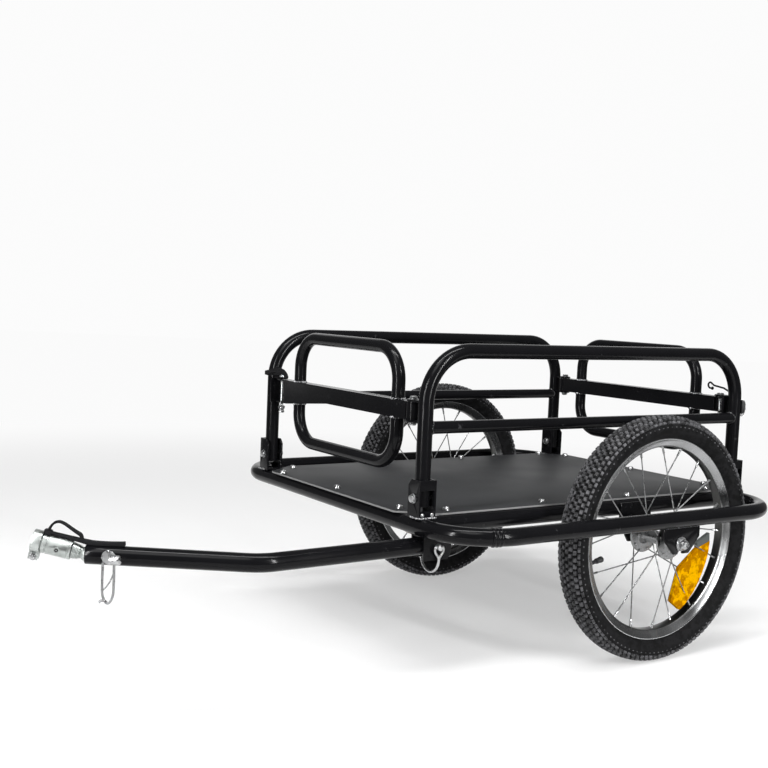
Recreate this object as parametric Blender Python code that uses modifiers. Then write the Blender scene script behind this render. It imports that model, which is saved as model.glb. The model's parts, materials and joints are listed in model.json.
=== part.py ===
"""Folding cargo trailer: a tubular chassis on two spoked wheels, with fold-down sides and gates,
a drawbar that folds under the deck, and a tilting, swivelling hitch at its front end.

Metres, +X forward, +Y to the left, +Z up. Places are given from the point on the ground under
the middle of the axle; at the end the whole trailer moves so that its length is centred on the origin.
"""
import math

import bmesh
import bpy
from mathutils import Matrix, Vector

# Clearance between neighbouring pieces.
GAP = 0.0003

# Frame tubes.
TUBE = 0.0127
FRAME_Z = 0.2344
LOOP_Y = 0.3415
LOOP_FRONT = 0.4224
LOOP_REAR = -0.2462
LOOP_CORNER = 0.090
SEAM_X = 0.3260
RAIL_Y = 0.2299
CROSS_TUBE = 0.0111
CROSS_X = (0.0, 0.210)

# Deck board.
DECK_BOTTOM = FRAME_Z + TUBE + GAP
DECK_THICK = 0.003
DECK_FRONT = 0.437
DECK_REAR = -0.254
DECK_HALF = 0.2325
FRONT_CORNER_Y = 0.190
FRONT_CHAMFER = 0.615
REAR_CHAMFER = 0.443

# Sides that fold in over the deck.
SIDE_Y = 0.2312
POST_X = {"front": 0.41775, "rear": -0.2435}
POST_TUBE = 0.0111
SIDE_TOP = 0.485
SIDE_BEND = 0.075
MID_TUBE = 0.0092
MID_Z = 0.3753
PIVOT_Z = 0.275
FOOT_Z = PIVOT_Z - 0.012
BRACKET_TOP = 0.302
WALL = 0.003
INNER_HALF = 0.0116
MOUTH_Y = 0.2172

# Gates between the sides.
HINGE_Y = 0.200
BAR_BOTTOM = 0.3835
BAR_TOP = 0.410
LATCH_DROP = {"front": 0.0135, "rear": 0.0}
DROP_START = 0.030
DROP_END = 0.166
BAR_HALF = 0.010
BAR_WALL = 0.0025
GATE_TUBE = 0.010
GATE_HALF = 0.148
GATE_SHIFT = {"front": 0.012, "rear": -0.004}
GATE_TOP = 0.485
GATE_LOW = 0.311
GATE_BEND = 0.050
PIN_RADIUS = 0.003
STRAP_Z = BAR_TOP + 0.008
PIN_HOLE = 0.0033

# Wheels.
WHEEL_Y = 0.2932
AXLE_Z = 0.196
TYRE_RADIUS = 0.196
WHEEL_STEPS = 40
SPOKES_PER_SIDE = 10
SPOKE = 0.0011
REFLECTOR_OUTER = ((-27.9, 0.1331), (-10.0, 0.1278), (6.8, 0.1223), (19.0, 0.1202), (31.3, 0.1180))
REFLECTOR_INNER = ((23.2, 0.0908), (-9.4, 0.0707), (-35.1, 0.1105))
AXLE = 0.005
INNER_PLATE_Y = 0.2449
OUTER_PLATE_Y = 0.3415
PLATE = 0.004

# Drawbar and hitch.
FOOT = Vector((0.397, RAIL_Y, FRAME_Z - 2 * TUBE - 2 * GAP - WALL))
ELBOW = Vector((0.6685, 0.2299, 0.2037))
TUBE_END = Vector((0.8650, 0.1165, 0.2096))
ELBOW_BEND = 0.070
NORMAL = Vector((0.5, math.sqrt(0.75), 0.0))
LEG = (TUBE_END - ELBOW).normalized()
BALL = TUBE_END - 0.003 * LEG
HITCH = Vector((0.8458, -0.4835, 0.2257)).normalized()
BOLT_PLACE = TUBE_END - 0.0325 * LEG

BLACK = ((0.012, 0.012, 0.013), 0.35, 0.0)
SILVER = ((0.60, 0.61, 0.60), 0.32, 1.0)
ZINC = ((0.52, 0.53, 0.54), 0.38, 1.0)
RUBBER = ((0.016, 0.016, 0.016), 0.8, 0.0)
BOARD = ((0.055, 0.056, 0.058), 0.6, 0.0)
AMBER = ((0.85, 0.33, 0.02), 0.25, 0.0)
WEBBING = ((0.010, 0.010, 0.010), 0.85, 0.0)

for old in list(bpy.context.scene.objects):
    bpy.data.objects.remove(old, do_unlink=True)

model = bpy.data.collections.new("folding_cargo_trailer")
cutters = bpy.data.collections.new("cutters")
bpy.context.scene.collection.children.link(model)
bpy.context.scene.collection.children.link(cutters)


# Pivots: unrotated empties on the joint axes, placed in trailer coordinates.

def pivot(name, place, parent=None):
    """An empty on a joint's axis; pieces of the body that turns there hang from it."""
    empty = bpy.data.objects.new(name, None)
    empty.empty_display_size = 0.03
    model.objects.link(empty)
    empty["place"] = tuple(place)
    if parent is not None:
        empty.parent = parent
        empty.location = Vector(place) - Vector(parent["place"])
    return empty


def put(piece, body, at=(0, 0, 0), rotation=(0, 0, 0)):
    """Hangs a piece from a pivot, at a place given in trailer coordinates."""
    piece.parent = body
    piece.location = Vector(at) - Vector(body["place"])
    piece.rotation_euler = rotation
    return piece


# Shapes.

def coat(piece, look):
    """Gives a piece its own Principled material."""
    colour, roughness, metallic = look
    paint = bpy.data.materials.new(piece.name)
    paint.use_nodes = True
    shader = paint.node_tree.nodes["Principled BSDF"]
    shader.inputs["Base Color"].default_value = (*colour, 1.0)
    shader.inputs["Roughness"].default_value = roughness
    shader.inputs["Metallic"].default_value = metallic
    paint.diffuse_color = (*colour, 1.0)
    piece.data.materials.clear()
    piece.data.materials.append(paint)
    return piece


def mesh_piece(name, mesh, look=None):
    """Links a mesh as a piece of the model, or as a cutter when it has no look."""
    piece = bpy.data.objects.new(name, mesh)
    mesh.shade_smooth()
    mesh.set_sharp_from_angle(angle=math.radians(35))
    if look is None:
        cutters.objects.link(piece)
        piece.hide_render = True
        piece.display_type = "WIRE"
    else:
        model.objects.link(piece)
        coat(piece, look)
    return piece


def weld(mesh):
    """Merges the loose caps of a converted curve and turns its faces outwards."""
    bm = bmesh.new()
    bm.from_mesh(mesh)
    bmesh.ops.remove_doubles(bm, verts=bm.verts, dist=1e-5)
    bmesh.ops.recalc_face_normals(bm, faces=bm.faces)
    bm.to_mesh(mesh)
    bm.free()


def converted(curve, name):
    """The closed mesh of a curve object, which is removed."""
    guide = bpy.data.objects.new(name + "_curve", curve)
    bpy.context.scene.collection.objects.link(guide)
    depsgraph = bpy.context.evaluated_depsgraph_get()
    mesh = bpy.data.meshes.new_from_object(guide.evaluated_get(depsgraph))
    bpy.data.objects.remove(guide, do_unlink=True)
    bpy.data.curves.remove(curve)
    mesh.name = name
    weld(mesh)
    return mesh


def pipe(name, points, radius, look=None, widths=None, resolution=4, cyclic=False):
    """A round bar or tube along a list of points."""
    curve = bpy.data.curves.new(name, "CURVE")
    curve.dimensions = "3D"
    curve.resolution_u = 1
    curve.bevel_depth = radius
    curve.bevel_resolution = resolution
    curve.use_fill_caps = not cyclic
    spline = curve.splines.new("POLY")
    spline.points.add(len(points) - 1)
    spline.use_cyclic_u = cyclic
    for number, place in enumerate(points):
        spline.points[number].co = (*place, 1.0)
        spline.points[number].radius = widths[number] if widths else 1.0
    return mesh_piece(name, converted(curve, name), look)


def sheet(name, outlines, thickness, look=None):
    """A flat plate from outlines in its own XY plane; inner outlines are holes."""
    curve = bpy.data.curves.new(name, "CURVE")
    curve.dimensions = "2D"
    curve.fill_mode = "BOTH"
    curve.resolution_u = 1
    curve.extrude = thickness / 2
    for outline in outlines:
        spline = curve.splines.new("POLY")
        spline.points.add(len(outline) - 1)
        spline.use_cyclic_u = True
        for number, (x, y) in enumerate(outline):
            spline.points[number].co = (x, y, 0.0, 1.0)
    return mesh_piece(name, converted(curve, name), look)


def rod(name, radius, low, high, look=None, sides=16):
    """A cylinder along its own Z, from low to high."""
    bm = bmesh.new()
    bmesh.ops.create_cone(
        bm, cap_ends=True, segments=sides, radius1=radius, radius2=radius, depth=high - low,
        matrix=Matrix.Translation((0, 0, (low + high) / 2)),
    )
    mesh = bpy.data.meshes.new(name)
    bm.to_mesh(mesh)
    bm.free()
    return mesh_piece(name, mesh, look)


def block(name, low, high, look=None):
    """A box between two corners."""
    low, high = Vector(low), Vector(high)
    bm = bmesh.new()
    bmesh.ops.create_cube(
        bm, size=1.0, matrix=Matrix.LocRotScale((low + high) / 2, None, high - low),
    )
    mesh = bpy.data.meshes.new(name)
    bm.to_mesh(mesh)
    bm.free()
    return mesh_piece(name, mesh, look)


def turned(name, profile, steps, look=None, ring=False):
    """A turned piece: (radius, height) points down its outer side; a ring's profile is closed."""
    mesh = bpy.data.meshes.new(name)
    bm = bmesh.new()
    verts = [bm.verts.new((radius, 0.0, height)) for radius, height in profile]
    for first, second in zip(verts, verts[1:]):
        bm.edges.new((first, second))
    if ring:
        bm.edges.new((verts[-1], verts[0]))
    bm.to_mesh(mesh)
    bm.free()
    piece = mesh_piece(name, mesh, look)
    screw = piece.modifiers.new("turn", "SCREW")
    screw.steps = steps
    screw.render_steps = steps
    screw.use_merge_vertices = True
    screw.merge_threshold = 1e-5
    screw.use_smooth_shade = True
    return piece


def across(radius, sides):
    """The corner radius of a polygon whose flats keep the given radius."""
    return radius / math.cos(math.pi / sides)


def bake(piece):
    """Replaces a piece's modifiers by the mesh that they make."""
    bpy.context.view_layer.update()
    depsgraph = bpy.context.evaluated_depsgraph_get()
    mesh = bpy.data.meshes.new_from_object(piece.evaluated_get(depsgraph))
    piece.modifiers.clear()
    piece.data = mesh
    return piece


def combine(target, tool, operation, self_overlap=False):
    """A Boolean between a piece and a tool that hangs from the same pivot."""
    modifier = target.modifiers.new(tool.name, "BOOLEAN")
    modifier.operation = operation
    modifier.solver = "EXACT"
    modifier.use_self = self_overlap
    modifier.object = tool
    return target


def cut(target, tool, at=(0, 0, 0), rotation=(0, 0, 0)):
    put(tool, target.parent, at, rotation)
    return combine(target, tool, "DIFFERENCE")


def fuse(target, tool, at=(0, 0, 0), rotation=(0, 0, 0)):
    put(tool, target.parent, at, rotation)
    return combine(target, tool, "UNION")


# Routes and outlines.

def rounded_route(corners, radius, steps=8):
    """A polyline whose inner corners are arcs of the given radius."""
    corners = [Vector(corner) for corner in corners]
    route = [corners[0]]
    for before, corner, after in zip(corners, corners[1:], corners[2:]):
        back = (before - corner).normalized()
        on = (after - corner).normalized()
        half = back.angle(on) / 2
        reach = radius / math.tan(half)
        centre = corner + (back + on).normalized() * (radius / math.sin(half))
        start = corner + back * reach - centre
        axis = start.cross(corner + on * reach - centre).normalized()
        sweep = math.pi - 2 * half
        for step in range(steps + 1):
            route.append(centre + Matrix.Rotation(sweep * step / steps, 3, axis) @ start)
    route.append(corners[-1])
    return route


def arc(centre, radius, start, stop, steps):
    """Points on an arc in a plane, angles in degrees."""
    points = []
    for step in range(steps + 1):
        angle = math.radians(start + (stop - start) * step / steps)
        points.append((centre[0] + radius * math.cos(angle), centre[1] + radius * math.sin(angle)))
    return points


def circle(centre, radius, sides):
    """A round hole whose flats keep the given radius."""
    return arc(centre, across(radius, sides), 0, 360 - 360 / sides, sides - 1)


def ribbon(path, widths):
    """The outline of a strip along a path in a plane, with a thickness at each point."""
    path = [Vector(point) for point in path]
    left, right = [], []
    for number, point in enumerate(path):
        before = path[max(number - 1, 0)]
        after = path[min(number + 1, len(path) - 1)]
        way = (after - before).normalized()
        side = Vector((-way.y, way.x)) * widths[number] / 2
        left.append(tuple(point + side))
        right.append(tuple(point - side))
    return left + right[::-1]


ALONG_X = (0, math.pi / 2, 0)
ALONG_Y = (-math.pi / 2, 0, 0)
STANDING_XZ = (math.pi / 2, 0, 0)
STANDING_YZ = (math.pi / 2, 0, math.pi / 2)

# Bodies.
trailer = pivot("trailer", (0, 0, 0))
chassis = pivot("chassis", (0, 0, 0), trailer)
SIDES = {"left": 1, "right": -1}
side_body = {
    name: pivot(name + "_side", (0, sign * SIDE_Y, PIVOT_Z), chassis) for name, sign in SIDES.items()
}
HINGE_SIDE = {"front": "left", "rear": "right"}
gate_body = {}
pin_body = {}
for end, hinge_side in HINGE_SIDE.items():
    hinge_y = SIDES[hinge_side] * HINGE_Y
    gate_body[end] = pivot(end + "_gate", (POST_X[end], hinge_y, BAR_TOP), side_body[hinge_side])
    pin_body[end] = pivot(end + "_latch", (POST_X[end], -hinge_y, BAR_TOP), gate_body[end])
wheel_body = {
    name: pivot(name + "_wheel", (0, sign * WHEEL_Y, AXLE_Z), chassis) for name, sign in SIDES.items()
}
drawbar = pivot("drawbar", FOOT, chassis)
drawbar_pin_body = pivot("drawbar_pin_pivot", FOOT, chassis)
coupler = pivot("coupler", BALL, drawbar)
coupler_head = pivot("coupler_head", BALL + 0.021 * HITCH, coupler)
hook_body = pivot("snap_hook_pivot", BOLT_PLACE, drawbar)


# Chassis tubes.

def chassis_tubes():
    """The two halves of the outer loop, the inner rails and the cross members."""
    front = rounded_route([
        (SEAM_X, LOOP_Y, FRAME_Z), (LOOP_FRONT, LOOP_Y, FRAME_Z),
        (LOOP_FRONT, -LOOP_Y, FRAME_Z), (SEAM_X, -LOOP_Y, FRAME_Z),
    ], LOOP_CORNER, 8)
    put(pipe("front_bumper_tube", front, TUBE, BLACK), chassis)

    # The rear half has a swaged mouth, where the front half plugs in.
    mouth = SEAM_X - GAP
    bends = rounded_route([
        (mouth - 0.0105, LOOP_Y, FRAME_Z), (LOOP_REAR, LOOP_Y, FRAME_Z),
        (LOOP_REAR, -LOOP_Y, FRAME_Z), (mouth - 0.0105, -LOOP_Y, FRAME_Z),
    ], LOOP_CORNER, 8)
    swage = [(mouth, 1.1), (mouth - 0.0095, 1.1)]
    rear = [(x, LOOP_Y, FRAME_Z) for x, _ in swage] + bends
    rear += [(x, -LOOP_Y, FRAME_Z) for x, _ in reversed(swage)]
    widths = [wide for _, wide in swage] + [1.0] * len(bends) + [wide for _, wide in reversed(swage)]
    put(pipe("rear_bumper_tube", rear, TUBE, BLACK, widths), chassis)

    for name, sign in SIDES.items():
        y = sign * RAIL_Y
        rail = pipe(name + "_inner_rail", [(LOOP_REAR, y, FRAME_Z), (LOOP_FRONT, y, FRAME_Z)], TUBE, BLACK)
        put(rail, chassis)
        for end, x in (("front", LOOP_FRONT), ("rear", LOOP_REAR)):
            cope = rod(f"{name}_{end}_rail_cope", across(TUBE + GAP, 16), -0.03, 0.03)
            cut(rail, cope, (x, y, FRAME_Z), ALONG_Y)

    for name, x in zip(("axle_cross_member", "front_cross_member"), CROSS_X):
        reach = RAIL_Y - 0.004
        member = pipe(name, [(x, -reach, FRAME_Z), (x, reach, FRAME_Z)], CROSS_TUBE, BLACK)
        put(member, chassis)
        for side, sign in SIDES.items():
            cope = rod(f"{name}_{side}_cope", across(TUBE + GAP, 16), -0.03, 0.03)
            cut(member, cope, (x, sign * RAIL_Y, FRAME_Z), ALONG_X)


def deck():
    """A thin board with cut corners on top of the frame."""
    y_rear = REAR_CHAMFER + DECK_REAR
    half = [
        (DECK_FRONT, FRONT_CORNER_Y), (FRONT_CHAMFER - DECK_HALF, DECK_HALF),
        (DECK_HALF - REAR_CHAMFER, DECK_HALF), (DECK_REAR, y_rear),
    ]
    outline = half + [(x, -y) for x, y in reversed(half)]
    board = sheet("deck_board", [outline], DECK_THICK, BOARD)
    put(board, chassis, (0, 0, DECK_BOTTOM + DECK_THICK / 2))


def fold_bracket(end, side):
    """A channel that is open towards the deck, with a window for the post's foot, and its cross bolt."""
    sign = SIDES[side]
    x = POST_X[end]
    outer = SIDE_Y + INNER_HALF + WALL
    walls = [
        (MOUTH_Y, DECK_BOTTOM), (outer, DECK_BOTTOM), (outer, BRACKET_TOP),
        (MOUTH_Y + 0.007, BRACKET_TOP), (MOUTH_Y, BRACKET_TOP - 0.008),
    ]
    web = SIDE_Y + INNER_HALF
    floor = DECK_BOTTOM + WALL
    void = [
        (MOUTH_Y - 0.01, floor), (web, floor), (web, 0.2575), (outer + 0.01, 0.2575),
        (outer + 0.01, 0.287), (web, 0.287), (web, BRACKET_TOP + 0.01), (MOUTH_Y - 0.01, BRACKET_TOP + 0.01),
    ]
    name = f"{end}_{side}"
    bracket = sheet(name + "_bracket", [[(sign * y, z) for y, z in walls]], 2 * (INNER_HALF + WALL), BLACK)
    put(bracket, chassis, (x, 0, 0), STANDING_YZ)
    hollow = sheet(name + "_channel", [[(sign * y, z) for y, z in void]], 2 * INNER_HALF)
    cut(bracket, hollow, (x, 0, 0), STANDING_YZ)
    drill = rod(name + "_wall_drill", across(0.0043, 16), -0.03, 0.03)
    cut(bracket, drill, (x, sign * SIDE_Y, PIVOT_Z), ALONG_X)
    bolt(name + "_fold_bolt", 2 * (INNER_HALF + WALL + GAP), 0.004, 0.0075, 0.0050, chassis,
         (x, sign * SIDE_Y, PIVOT_Z), ALONG_X)


def bolt(name, grip, shank, head, thick, body, at, rotation, look=ZINC, sides=10):
    """A hexagon head and nut on a shank, centred on its own origin along its own Z."""
    piece = rod(name, shank, -grip / 2 - thick - 0.0012, grip / 2 + thick / 2, look, sides)
    put(piece, body, at, rotation)
    for label, low, high in (("head", grip / 2, grip / 2 + thick), ("nut", -grip / 2 - thick, -grip / 2)):
        fuse(piece, rod(f"{name}_{label}", head, low, high, sides=6), at, rotation)
    return piece


# Sides, gates and latch pins.

def ear(name, x, side, bottom):
    """A tapered plate from a post to the hinge or latch axis, with its round hole."""
    sign = SIDES[side]
    tip = arc((0, HINGE_Y), 0.010, 0, -180, 8)
    outline = tip + [(-0.010, 0.206), (-0.006, 0.2215), (-0.006, SIDE_Y), (0.006, SIDE_Y),
                     (0.006, 0.2215), (0.010, 0.206)]
    hole = circle((0, HINGE_Y), PIN_HOLE, 8)
    tool = sheet(name, [[(px, sign * py) for px, py in line] for line in (outline, hole)], WALL)
    return tool, (x, 0, bottom + WALL / 2)


def side(name):
    """A hoop with its mid rail; it carries two hinge ears at one end and a latch ear at the other."""
    sign = SIDES[name]
    y = sign * SIDE_Y
    body = side_body[name]
    # The bend starts low enough to be wide, and high enough that the latch strap fits the post.
    bend = min(SIDE_BEND, (SIDE_TOP - STRAP_Z) / 0.893)
    route = rounded_route([
        (POST_X["front"], y, FOOT_Z), (POST_X["front"], y, SIDE_TOP),
        (POST_X["rear"], y, SIDE_TOP), (POST_X["rear"], y, FOOT_Z),
    ], bend, 7)
    hoop = pipe(name + "_side_hoop", route, POST_TUBE, BLACK)
    put(hoop, body)
    for end, x in POST_X.items():
        drill = rod(f"{name}_{end}_post_drill", across(0.0043, 12), -0.03, 0.03, sides=12)
        cut(hoop, drill, (x, y, PIVOT_Z), ALONG_X)
        if HINGE_SIDE[end] == name:
            fuse(hoop, *ear(f"{end}_hinge_ear_upper", x, name, BAR_TOP + GAP))
            fuse(hoop, *ear(f"{end}_hinge_ear_lower", x, name, BAR_BOTTOM - GAP - WALL))
        else:
            fuse(hoop, *ear(f"{end}_latch_ear", x, name, BAR_TOP + 0.0004))

    ends = [(POST_X["rear"] + 0.004, y, MID_Z), (POST_X["front"] - 0.004, y, MID_Z)]
    rail = pipe(name + "_mid_rail", ends, MID_TUBE, BLACK)
    put(rail, body)
    for end, x in POST_X.items():
        cope = rod(f"{name}_{end}_mid_cope", across(POST_TUBE + GAP, 16), -0.03, 0.03)
        cut(rail, cope, (x, y, MID_Z))


def underside(end, raised, reach):
    """A line along the gate bar's underside, which goes down to the latch end where the bar flares."""
    sign = SIDES[HINGE_SIDE[end]]
    low = BAR_BOTTOM - LATCH_DROP[end]
    line = [(sign * reach, BAR_BOTTOM + raised)]
    if LATCH_DROP[end]:
        line += [(-sign * DROP_START, BAR_BOTTOM + raised), (-sign * DROP_END, low + raised)]
    return line + [(-sign * reach, low + raised)]


def gate(end):
    """A hollow bar with tongues, and a tube hoop above it and one below."""
    x = POST_X[end]
    body = gate_body[end]
    flares = LATCH_DROP[end] > 0
    low = BAR_BOTTOM - LATCH_DROP[end]
    start = low - 0.002 if flares else low
    outline = arc((0, HINGE_Y), BAR_HALF, 0, 180, 8) + arc((0, -HINGE_Y), BAR_HALF, 180, 360, 8)
    holes = [circle((0, sign * HINGE_Y), PIN_HOLE, 8) for sign in (1, -1)]
    bar = sheet(end + "_gate_bar", [outline, *holes], BAR_TOP - start, BLACK)
    put(bar, body, (x, 0, (BAR_TOP + start) / 2))
    if flares:
        under = underside(end, 0.0, 0.240)
        away = [(under[-1][0], low - 0.010), (under[0][0], low - 0.010)]
        cut(bar, sheet(end + "_bar_flare", [under + away], 0.040), (x, 0, 0), STANDING_YZ)
    floor = underside(end, BAR_WALL, 0.230)
    roof = [(floor[-1][0], BAR_TOP - BAR_WALL), (floor[0][0], BAR_TOP - BAR_WALL)]
    cut(bar, sheet(end + "_bar_bore", [floor + roof], 2 * (BAR_HALF - 0.002)), (x, 0, 0), STANDING_YZ)
    for label, sign in SIDES.items():
        level = BAR_BOTTOM if HINGE_SIDE[end] == label else low
        near, far = sorted((sign * 0.1945, sign * 0.230))
        slot = block(f"{end}_{label}_bar_slot", (-0.016, near, level + BAR_WALL - 0.0003),
                     (0.016, far, BAR_TOP - BAR_WALL + 0.0003))
        cut(bar, slot, (x, 0, 0))

    # The lower hoop's foot is cut along the slope where it meets the flared part.
    hinge = SIDES[HINGE_SIDE[end]]
    shift = GATE_SHIFT[end]
    sloped = BAR_BOTTOM - 0.004 if flares else BAR_BOTTOM - GAP
    for name, feet, top in (("upper", (BAR_TOP + GAP, BAR_TOP + GAP), GATE_TOP),
                            ("lower", (sloped, BAR_BOTTOM - GAP), GATE_LOW)):
        latch_y, hinge_y = shift - hinge * GATE_HALF, shift + hinge * GATE_HALF
        route = rounded_route([
            (x, latch_y, feet[0]), (x, latch_y, top), (x, hinge_y, top), (x, hinge_y, feet[1]),
        ], min(GATE_BEND, abs(top - feet[0]) - GAP), 6)
        hoop = pipe(f"{end}_gate_{name}_hoop", route, GATE_TUBE, BLACK, resolution=3)
        put(hoop, body)
        if name == "lower" and flares:
            slope = underside(end, -GAP, 0.230)[1:3]
            above = [(slope[1][0], BAR_BOTTOM + 0.010), (slope[0][0], BAR_BOTTOM + 0.010)]
            cut(hoop, sheet(end + "_foot_slope", [slope + above], 0.040), (x, 0, 0), STANDING_YZ)

    # The hinge bolt stays with the side: head on the upper ear, nut under the lower one.
    sign = SIDES[HINGE_SIDE[end]]
    upper = BAR_TOP + 2 * GAP + WALL
    lower = BAR_BOTTOM - 2 * GAP - WALL
    bolt(end + "_gate_hinge_bolt", upper - lower, PIN_RADIUS, 0.0056, 0.0038, side_body[HINGE_SIDE[end]],
         (x, sign * HINGE_Y, (upper + lower) / 2), (0, 0, 0))

    # The latch pin is pushed up from below; its shoulder leaves room for the last push into the ear.
    shoulder = low - 0.0067
    knob = [
        (0.0, BAR_TOP), (PIN_RADIUS, BAR_TOP), (PIN_RADIUS, shoulder), (0.0060, shoulder - 0.0006),
        (0.0060, shoulder - 0.0050), (0.0045, shoulder - 0.0062), (0.0045, shoulder - 0.0085),
        (0.0055, shoulder - 0.0095), (0.0040, shoulder - 0.0123), (0.0, shoulder - 0.0123),
    ]
    pin = turned(end + "_latch_pin", [(r, z - BAR_TOP) for r, z in knob], 12, ZINC)
    put(pin, pin_body[end], (x, -sign * HINGE_Y, BAR_TOP))


# Wheels, axles and their plates.

def both_sides(half):
    """A closed ring profile from (radius, offset) points listed from the outer face to the middle."""
    return [(radius, offset) for radius, offset in half] + [
        (radius, -offset) for radius, offset in reversed(half) if offset > 1e-6
    ]


def spoke_ends(number, face):
    """Where a spoke leaves the flange and where it meets the rim, in the wheel's own frame."""
    step = 2 * math.pi / SPOKES_PER_SIDE
    start = step * number + (step / 2 if face > 0 else 0.0)
    leading = (number % 2 == 0) == (face > 0)
    stop = start + (step if leading else -step)
    offset = face * (0.0287 if leading else 0.0253)
    inner = Vector((0.0240 * math.cos(start), 0.0240 * math.sin(start), offset))
    outer = Vector((0.1449 * math.cos(stop), 0.1449 * math.sin(stop), face * 0.0012))
    return inner, outer


def spoke_list():
    return [spoke_ends(number, face) for face in (1, -1) for number in range(SPOKES_PER_SIDE)]


def wheels():
    """Tyre, rim and spoked hub are made once and shared; each wheel has its own reflector."""
    tread = both_sides([
        (0.1538, 0.0107), (0.1604, 0.0107), (0.1612, 0.0150), (0.1680, 0.0208), (0.1775, 0.0235),
        (0.1878, 0.0205), (0.1945, 0.0120), (across(TYRE_RADIUS, WHEEL_STEPS), 0.0),
    ])
    band = [
        (0.1535, 0.0110), (0.1600, 0.0110), (0.1600, 0.0130), (0.1500, 0.0130), (0.1460, 0.0080),
    ]
    band = [(r, z) for r, z in band] + [(r, -z) for r, z in reversed(band)]
    tyre = bake(turned("tyre_form", tread, WHEEL_STEPS, ring=True)).data
    rim = bake(turned("rim_form", band[::-1], WHEEL_STEPS, ring=True)).data

    core = [
        (across(0.0053, 12), 0.0458), (0.0082, 0.0458), (0.0092, 0.0340), (0.0120, 0.0300), (0.0290, 0.0286),
        (0.0290, 0.0254), (0.0115, 0.0240),
    ]
    core = [(r, z) for r, z in core] + [(r, -z) for r, z in reversed(core)]
    hub = turned("hub_form", core, 12, ring=True)
    hub.parent = chassis
    spokes = bmesh.new()
    for inner, outer in spoke_list():
        way = outer - inner
        turn = way.to_track_quat("Z", "Y").to_matrix().to_4x4()
        bmesh.ops.create_cone(
            spokes, cap_ends=True, segments=5, radius1=SPOKE, radius2=SPOKE, depth=way.length,
            matrix=Matrix.Translation((inner + outer) / 2) @ turn,
        )
    spoke_mesh = bpy.data.meshes.new("spoke_set")
    spokes.to_mesh(spoke_mesh)
    spokes.free()
    fuse(hub, mesh_piece("spoke_set", spoke_mesh))
    spoked_hub = bake(hub).data

    for name, sign in SIDES.items():
        body = wheel_body[name]
        place = (0, sign * WHEEL_Y, AXLE_Z)
        turn = (-math.pi / 2, math.pi / WHEEL_STEPS, 0)
        for node, mesh, look in (("tyre", tyre, RUBBER), ("rim", rim, SILVER), ("spoked_hub", spoked_hub, ZINC)):
            piece = mesh_piece(f"{name}_{node}", mesh.copy(), look)
            put(piece, body, place, ALONG_Y if node == "spoked_hub" else turn)
    for form in ("tyre_form", "rim_form", "hub_form", "spoke_set"):
        bpy.data.objects.remove(bpy.data.objects[form], do_unlink=True)


def reflector(name, centre_angle):
    """An amber five-sided lens on the spokes, with a tunnel round each spoke that it meets."""
    sign = SIDES[name]
    low, high = 0.0015, 0.0095
    outline = []
    for angle, radius in REFLECTOR_OUTER + REFLECTOR_INNER:
        turn = math.radians(centre_angle + angle)
        outline.append((radius * math.cos(turn), radius * math.sin(turn)))
    piece = sheet(name + "_spoke_reflector", [outline], high - low, AMBER)
    place = Vector((0, sign * WHEEL_Y, AXLE_Z))
    middle = place + Vector((0, sign * (low + high) / 2, 0))
    put(piece, wheel_body[name], middle, ALONG_Y)
    tunnels = 0
    for inner, outer in spoke_list():
        near = False
        for step in range(40):
            point = inner.lerp(outer, step / 39)
            radius = math.hypot(point.x, point.y)
            angle = math.degrees(math.atan2(point.y, point.x))
            gap = (angle - centre_angle + 180) % 360 - 180
            depth = point.z * sign
            if 0.066 < radius < 0.138 and abs(gap) < 40 and low - 0.003 < depth < high + 0.003:
                near = True
        if near:
            way = outer - inner
            tool = rod(f"{name}_tunnel_{tunnels}", across(SPOKE + GAP, 6), -0.05, 0.05, sides=6)
            tunnels += 1
            local = Matrix.Rotation(-math.pi / 2, 4, "X")
            turn = local @ way.to_track_quat("Z", "Y").to_matrix().to_4x4()
            spot = place + (local @ inner.lerp(outer, 0.78))
            cut(piece, tool, spot, turn.to_euler())


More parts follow.
